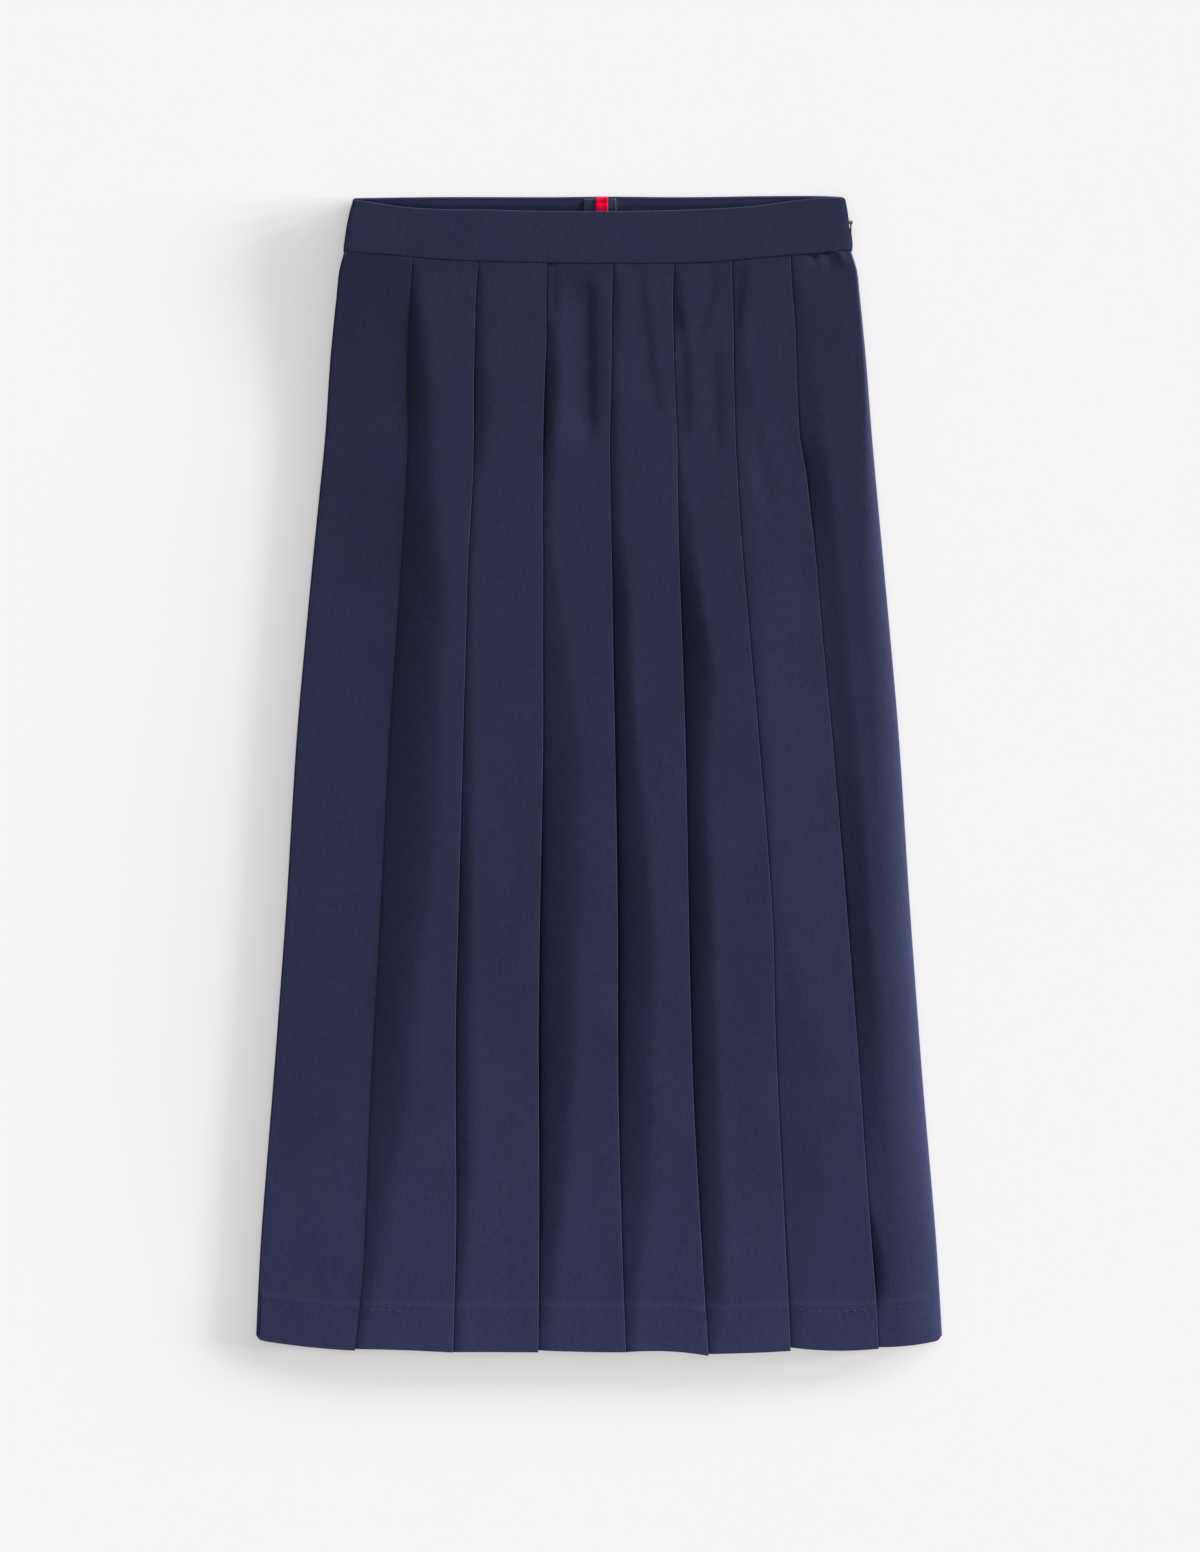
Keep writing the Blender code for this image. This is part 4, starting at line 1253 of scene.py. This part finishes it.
def thread_material(name, dark, light):
    """Twisted sewing thread."""
    shade = Shade(name)
    u, v = shade.parts(shade.uv())
    twist = shade.ribs(shade.blend((u, 1), (v, 0.5)), 0.5)
    mottle = shade.blend((twist, 0.6), (shade.noise(900.0, 2.0), 0.4))
    shade.bump(twist, 0.05, 0.5)
    return shade.finish(shade.ramp(mottle, (0.2, dark), (0.8, light)), 0.6, 0.25)


def enamel_material():
    """Dark enamel on zinc, rubbed a little lighter in places."""
    shade = Shade("zip_enamel")
    rubbed = shade.noise(700.0, 4.0)
    colour = shade.ramp(rubbed, (0.35, (0.010, 0.010, 0.018)), (0.6, (0.018, 0.019, 0.030)),
                        (0.78, (0.06, 0.06, 0.075)))
    rough = shade.ramp(rubbed, (0.3, (0.46,) * 3), (0.8, (0.24,) * 3))
    shade.bump(shade.noise(2400.0, 2.0), 0.02, 0.4)
    return shade.finish(colour, rough, 0.3, Metallic=0.2)


def tape_material():
    """Woven zip tape with ribs along it."""
    shade = Shade("zip_tape_weave")
    u, v = shade.parts(shade.uv())
    weave = shade.blend((shade.ribs(u, 0.8), 0.6), (shade.ribs(v, 0.6), 0.4))
    shade.bump(weave, 0.1, 0.6)
    return shade.finish(shade.ramp(weave, (0.2, (0.024, 0.024, 0.052)),
                                   (0.9, (0.046, 0.045, 0.088))), 0.75)


def nylon_material():
    """Coil of the zip: smooth navy nylon."""
    shade = Shade("zip_nylon")
    shade.bump(shade.noise(1800.0), 0.02, 0.3)
    return shade.finish(shade.ramp(shade.noise(300.0, 3.0), (0.3, (0.020, 0.021, 0.045)),
                                   (0.7, (0.036, 0.037, 0.07))), 0.35)


def floor_material():
    """Pale paper with a very faint cloud."""
    shade = Shade("floor")
    dark = [c * 0.998 for c in FLOOR_ALBEDO]
    return shade.finish(shade.ramp(shade.noise(6.0, 2.0), (0.3, dark), (0.7, FLOOR_ALBEDO)),
                        0.9, 0.0)


def dress(obj, material, body="skirt"):
    obj.data.materials.clear()
    obj.data.materials.append(material)
    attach(obj, body)
    return obj


# ---------------------------------------------------------------- camera, floor and light
PHOTO_HEIGHT_PX = 1552
MM_PER_PX = 0.715
CAMERA_HEIGHT = 2605.0
CAMERA_PLANE = 5.0          # height at which the scale holds
CAMERA_X, CAMERA_Y = 0.7, -0.3
SENSOR = 36.0


def camera():
    data = bpy.data.cameras.new("camera")
    data.sensor_width = SENSOR
    data.sensor_fit = "AUTO"
    frame_height = PHOTO_HEIGHT_PX * MM_PER_PX
    data.lens = SENSOR * (CAMERA_HEIGHT - CAMERA_PLANE) / frame_height
    data.clip_start = 0.05
    data.clip_end = 50.0
    obj = add_object("camera", data)
    obj.location = (CAMERA_X * MM, CAMERA_Y * MM, CAMERA_HEIGHT * MM)
    bpy.context.scene.camera = obj


def sun(name, azimuth, elevation, spread, level):
    """A soft light from a direction. Level is its share of what a white floor sends back."""
    data = bpy.data.lights.new(name, "SUN")
    data.angle = math.radians(spread)
    data.energy = level * math.pi / math.sin(math.radians(elevation))
    obj = add_object(name, data)
    az, el = math.radians(azimuth), math.radians(elevation)
    towards = Vector((math.cos(el) * math.cos(az), math.cos(el) * math.sin(az), math.sin(el)))
    obj.rotation_euler = towards.to_track_quat("Z", "Y").to_euler()
    return obj


def light_linked(light, floor, state):
    """Let a light reach the floor alone (INCLUDE) or all but the floor (EXCLUDE)."""
    receivers = bpy.data.collections.new(light.name + "_receivers")
    receivers.objects.link(floor)
    receivers.collection_objects[0].light_linking.link_state = state
    light.light_linking.receiver_collection = receivers


FLOOR_ALBEDO = (0.80, 0.788, 0.794)
LIGHT = 1.155               # light that reaches the floor, as a share of a white one's
AMBIENT_SHARE = 0.30
# The suns of each surface: direction, elevation and spread in degrees, and share. The floor's
# low ones come from a fan of directions, so that the shadow on it is soft all round.
Sun = namedtuple("Sun", "name azimuth elevation spread share")
FLOOR_SUNS = table(Sun, [
    ("floor_0", 0.0, 3.4, 4.2, 0.084), ("floor_10", 10.0, 3.4, 4.2, 0.073),
    ("floor_22", 22.0, 3.6, 4.6, 0.073), ("floor_34", 34.0, 5.0, 6.0, 0.052),
    ("floor_48", 48.0, 7.0, 8.0, 0.037), ("floor_65", 65.0, 9.0, 10.0, 0.021),
    ("floor_85", 85.0, 10.0, 11.0, 0.010), ("floor_top", 0.0, 89.0, 20.0, 0.350)])
CLOTH_SUNS = table(Sun, [
    ("cloth_key", 40.0, 7.8, 12.0, 0.46), ("cloth_middle", 20.0, 35.0, 35.0, 0.08)])
FLOOR_SIZE = 6.0            # half its side, in metres
FLOOR_DROP = 0.3            # the floor lies this far under the garment


def studio():
    bm = bmesh.new()
    bmesh.ops.create_grid(bm, x_segments=1, y_segments=1, size=FLOOR_SIZE)
    floor = mesh_object("floor", bm)
    floor.location.z = -FLOOR_DROP * MM
    floor.data.materials.append(floor_material())

    for suns, state in ((FLOOR_SUNS, "INCLUDE"), (CLOTH_SUNS, "EXCLUDE")):
        for each in suns:
            light = sun(each.name, each.azimuth, each.elevation, each.spread, LIGHT * each.share)
            light_linked(light, floor, state)
    world = bpy.data.worlds.new("studio")
    world.use_nodes = True
    background = world.node_tree.nodes["Background"]
    background.inputs["Color"].default_value = (1.0, 1.0, 1.0, 1.0)
    background.inputs["Strength"].default_value = LIGHT * AMBIENT_SHARE
    bpy.context.scene.world = world
    bpy.context.scene.view_settings.view_transform = "Standard"
    bpy.context.scene.view_settings.look = "None"


# ---------------------------------------------------------------- the garment
def garment():
    navy = cloth_material("navy_crepe", PAINTED_LIGHT_UP_SKIRT)
    band_navy = cloth_material("navy_crepe_band", BAND_LIGHTNESS)
    front = pleated_panel("front_skirt_cloth", front_line, FRONT_ROWS, front_relief)
    dress(front, navy)
    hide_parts("front_skirt")
    back = pleated_panel("back_skirt_cloth", back_line, BACK_ROWS, back_relief)
    dress(back, navy)
    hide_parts("back_skirt")
    band = front_band()
    dress(band, band_navy)
    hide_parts("front_waistband")
    band_back = back_band()
    dress(band_back, band_navy)
    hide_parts("back_waistband")

    small_pieces()


def small_pieces():
    label = patch_cloth("label_cloth", "label_patch", label_lift)
    dress(label, label_material())
    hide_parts("label_patch")
    tab = patch_cloth("tab_ribbon", "red_tab", tab_lift)
    dress(tab, tab_material())
    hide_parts("red_tab")

    navy_thread = thread_material("navy_thread", (0.012, 0.013, 0.030), (0.030, 0.032, 0.066))
    pale_thread = thread_material("blue_thread", (0.040, 0.048, 0.085), (0.085, 0.100, 0.150))
    grey_thread = thread_material("grey_thread", (0.022, 0.027, 0.045), (0.048, 0.056, 0.080))
    for sewn, thread in ((hem_stitches(), pale_thread), (back_hem_stitches(), pale_thread),
                         (band_stitches(), navy_thread), (band_edge_stitches(), navy_thread),
                         (label_stitches(), grey_thread)):
        dress(sewn, thread)
    red_dark = thread_material("dark_red_thread", (0.040, 0.002, 0.010), (0.110, 0.004, 0.020))
    dress(tab_stitches(), red_dark)

    tape = tape_material()
    for piece in zip_tape():
        dress(piece, tape)
    dress(zip_teeth(), nylon_material())
    enamel = enamel_material()
    for node in ("zip_slider", "zip_pull"):
        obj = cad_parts[node]
        obj.data.materials.clear()
        obj.data.materials.append(enamel)


camera()
studio()
garment()

bpy.context.view_layer.update()
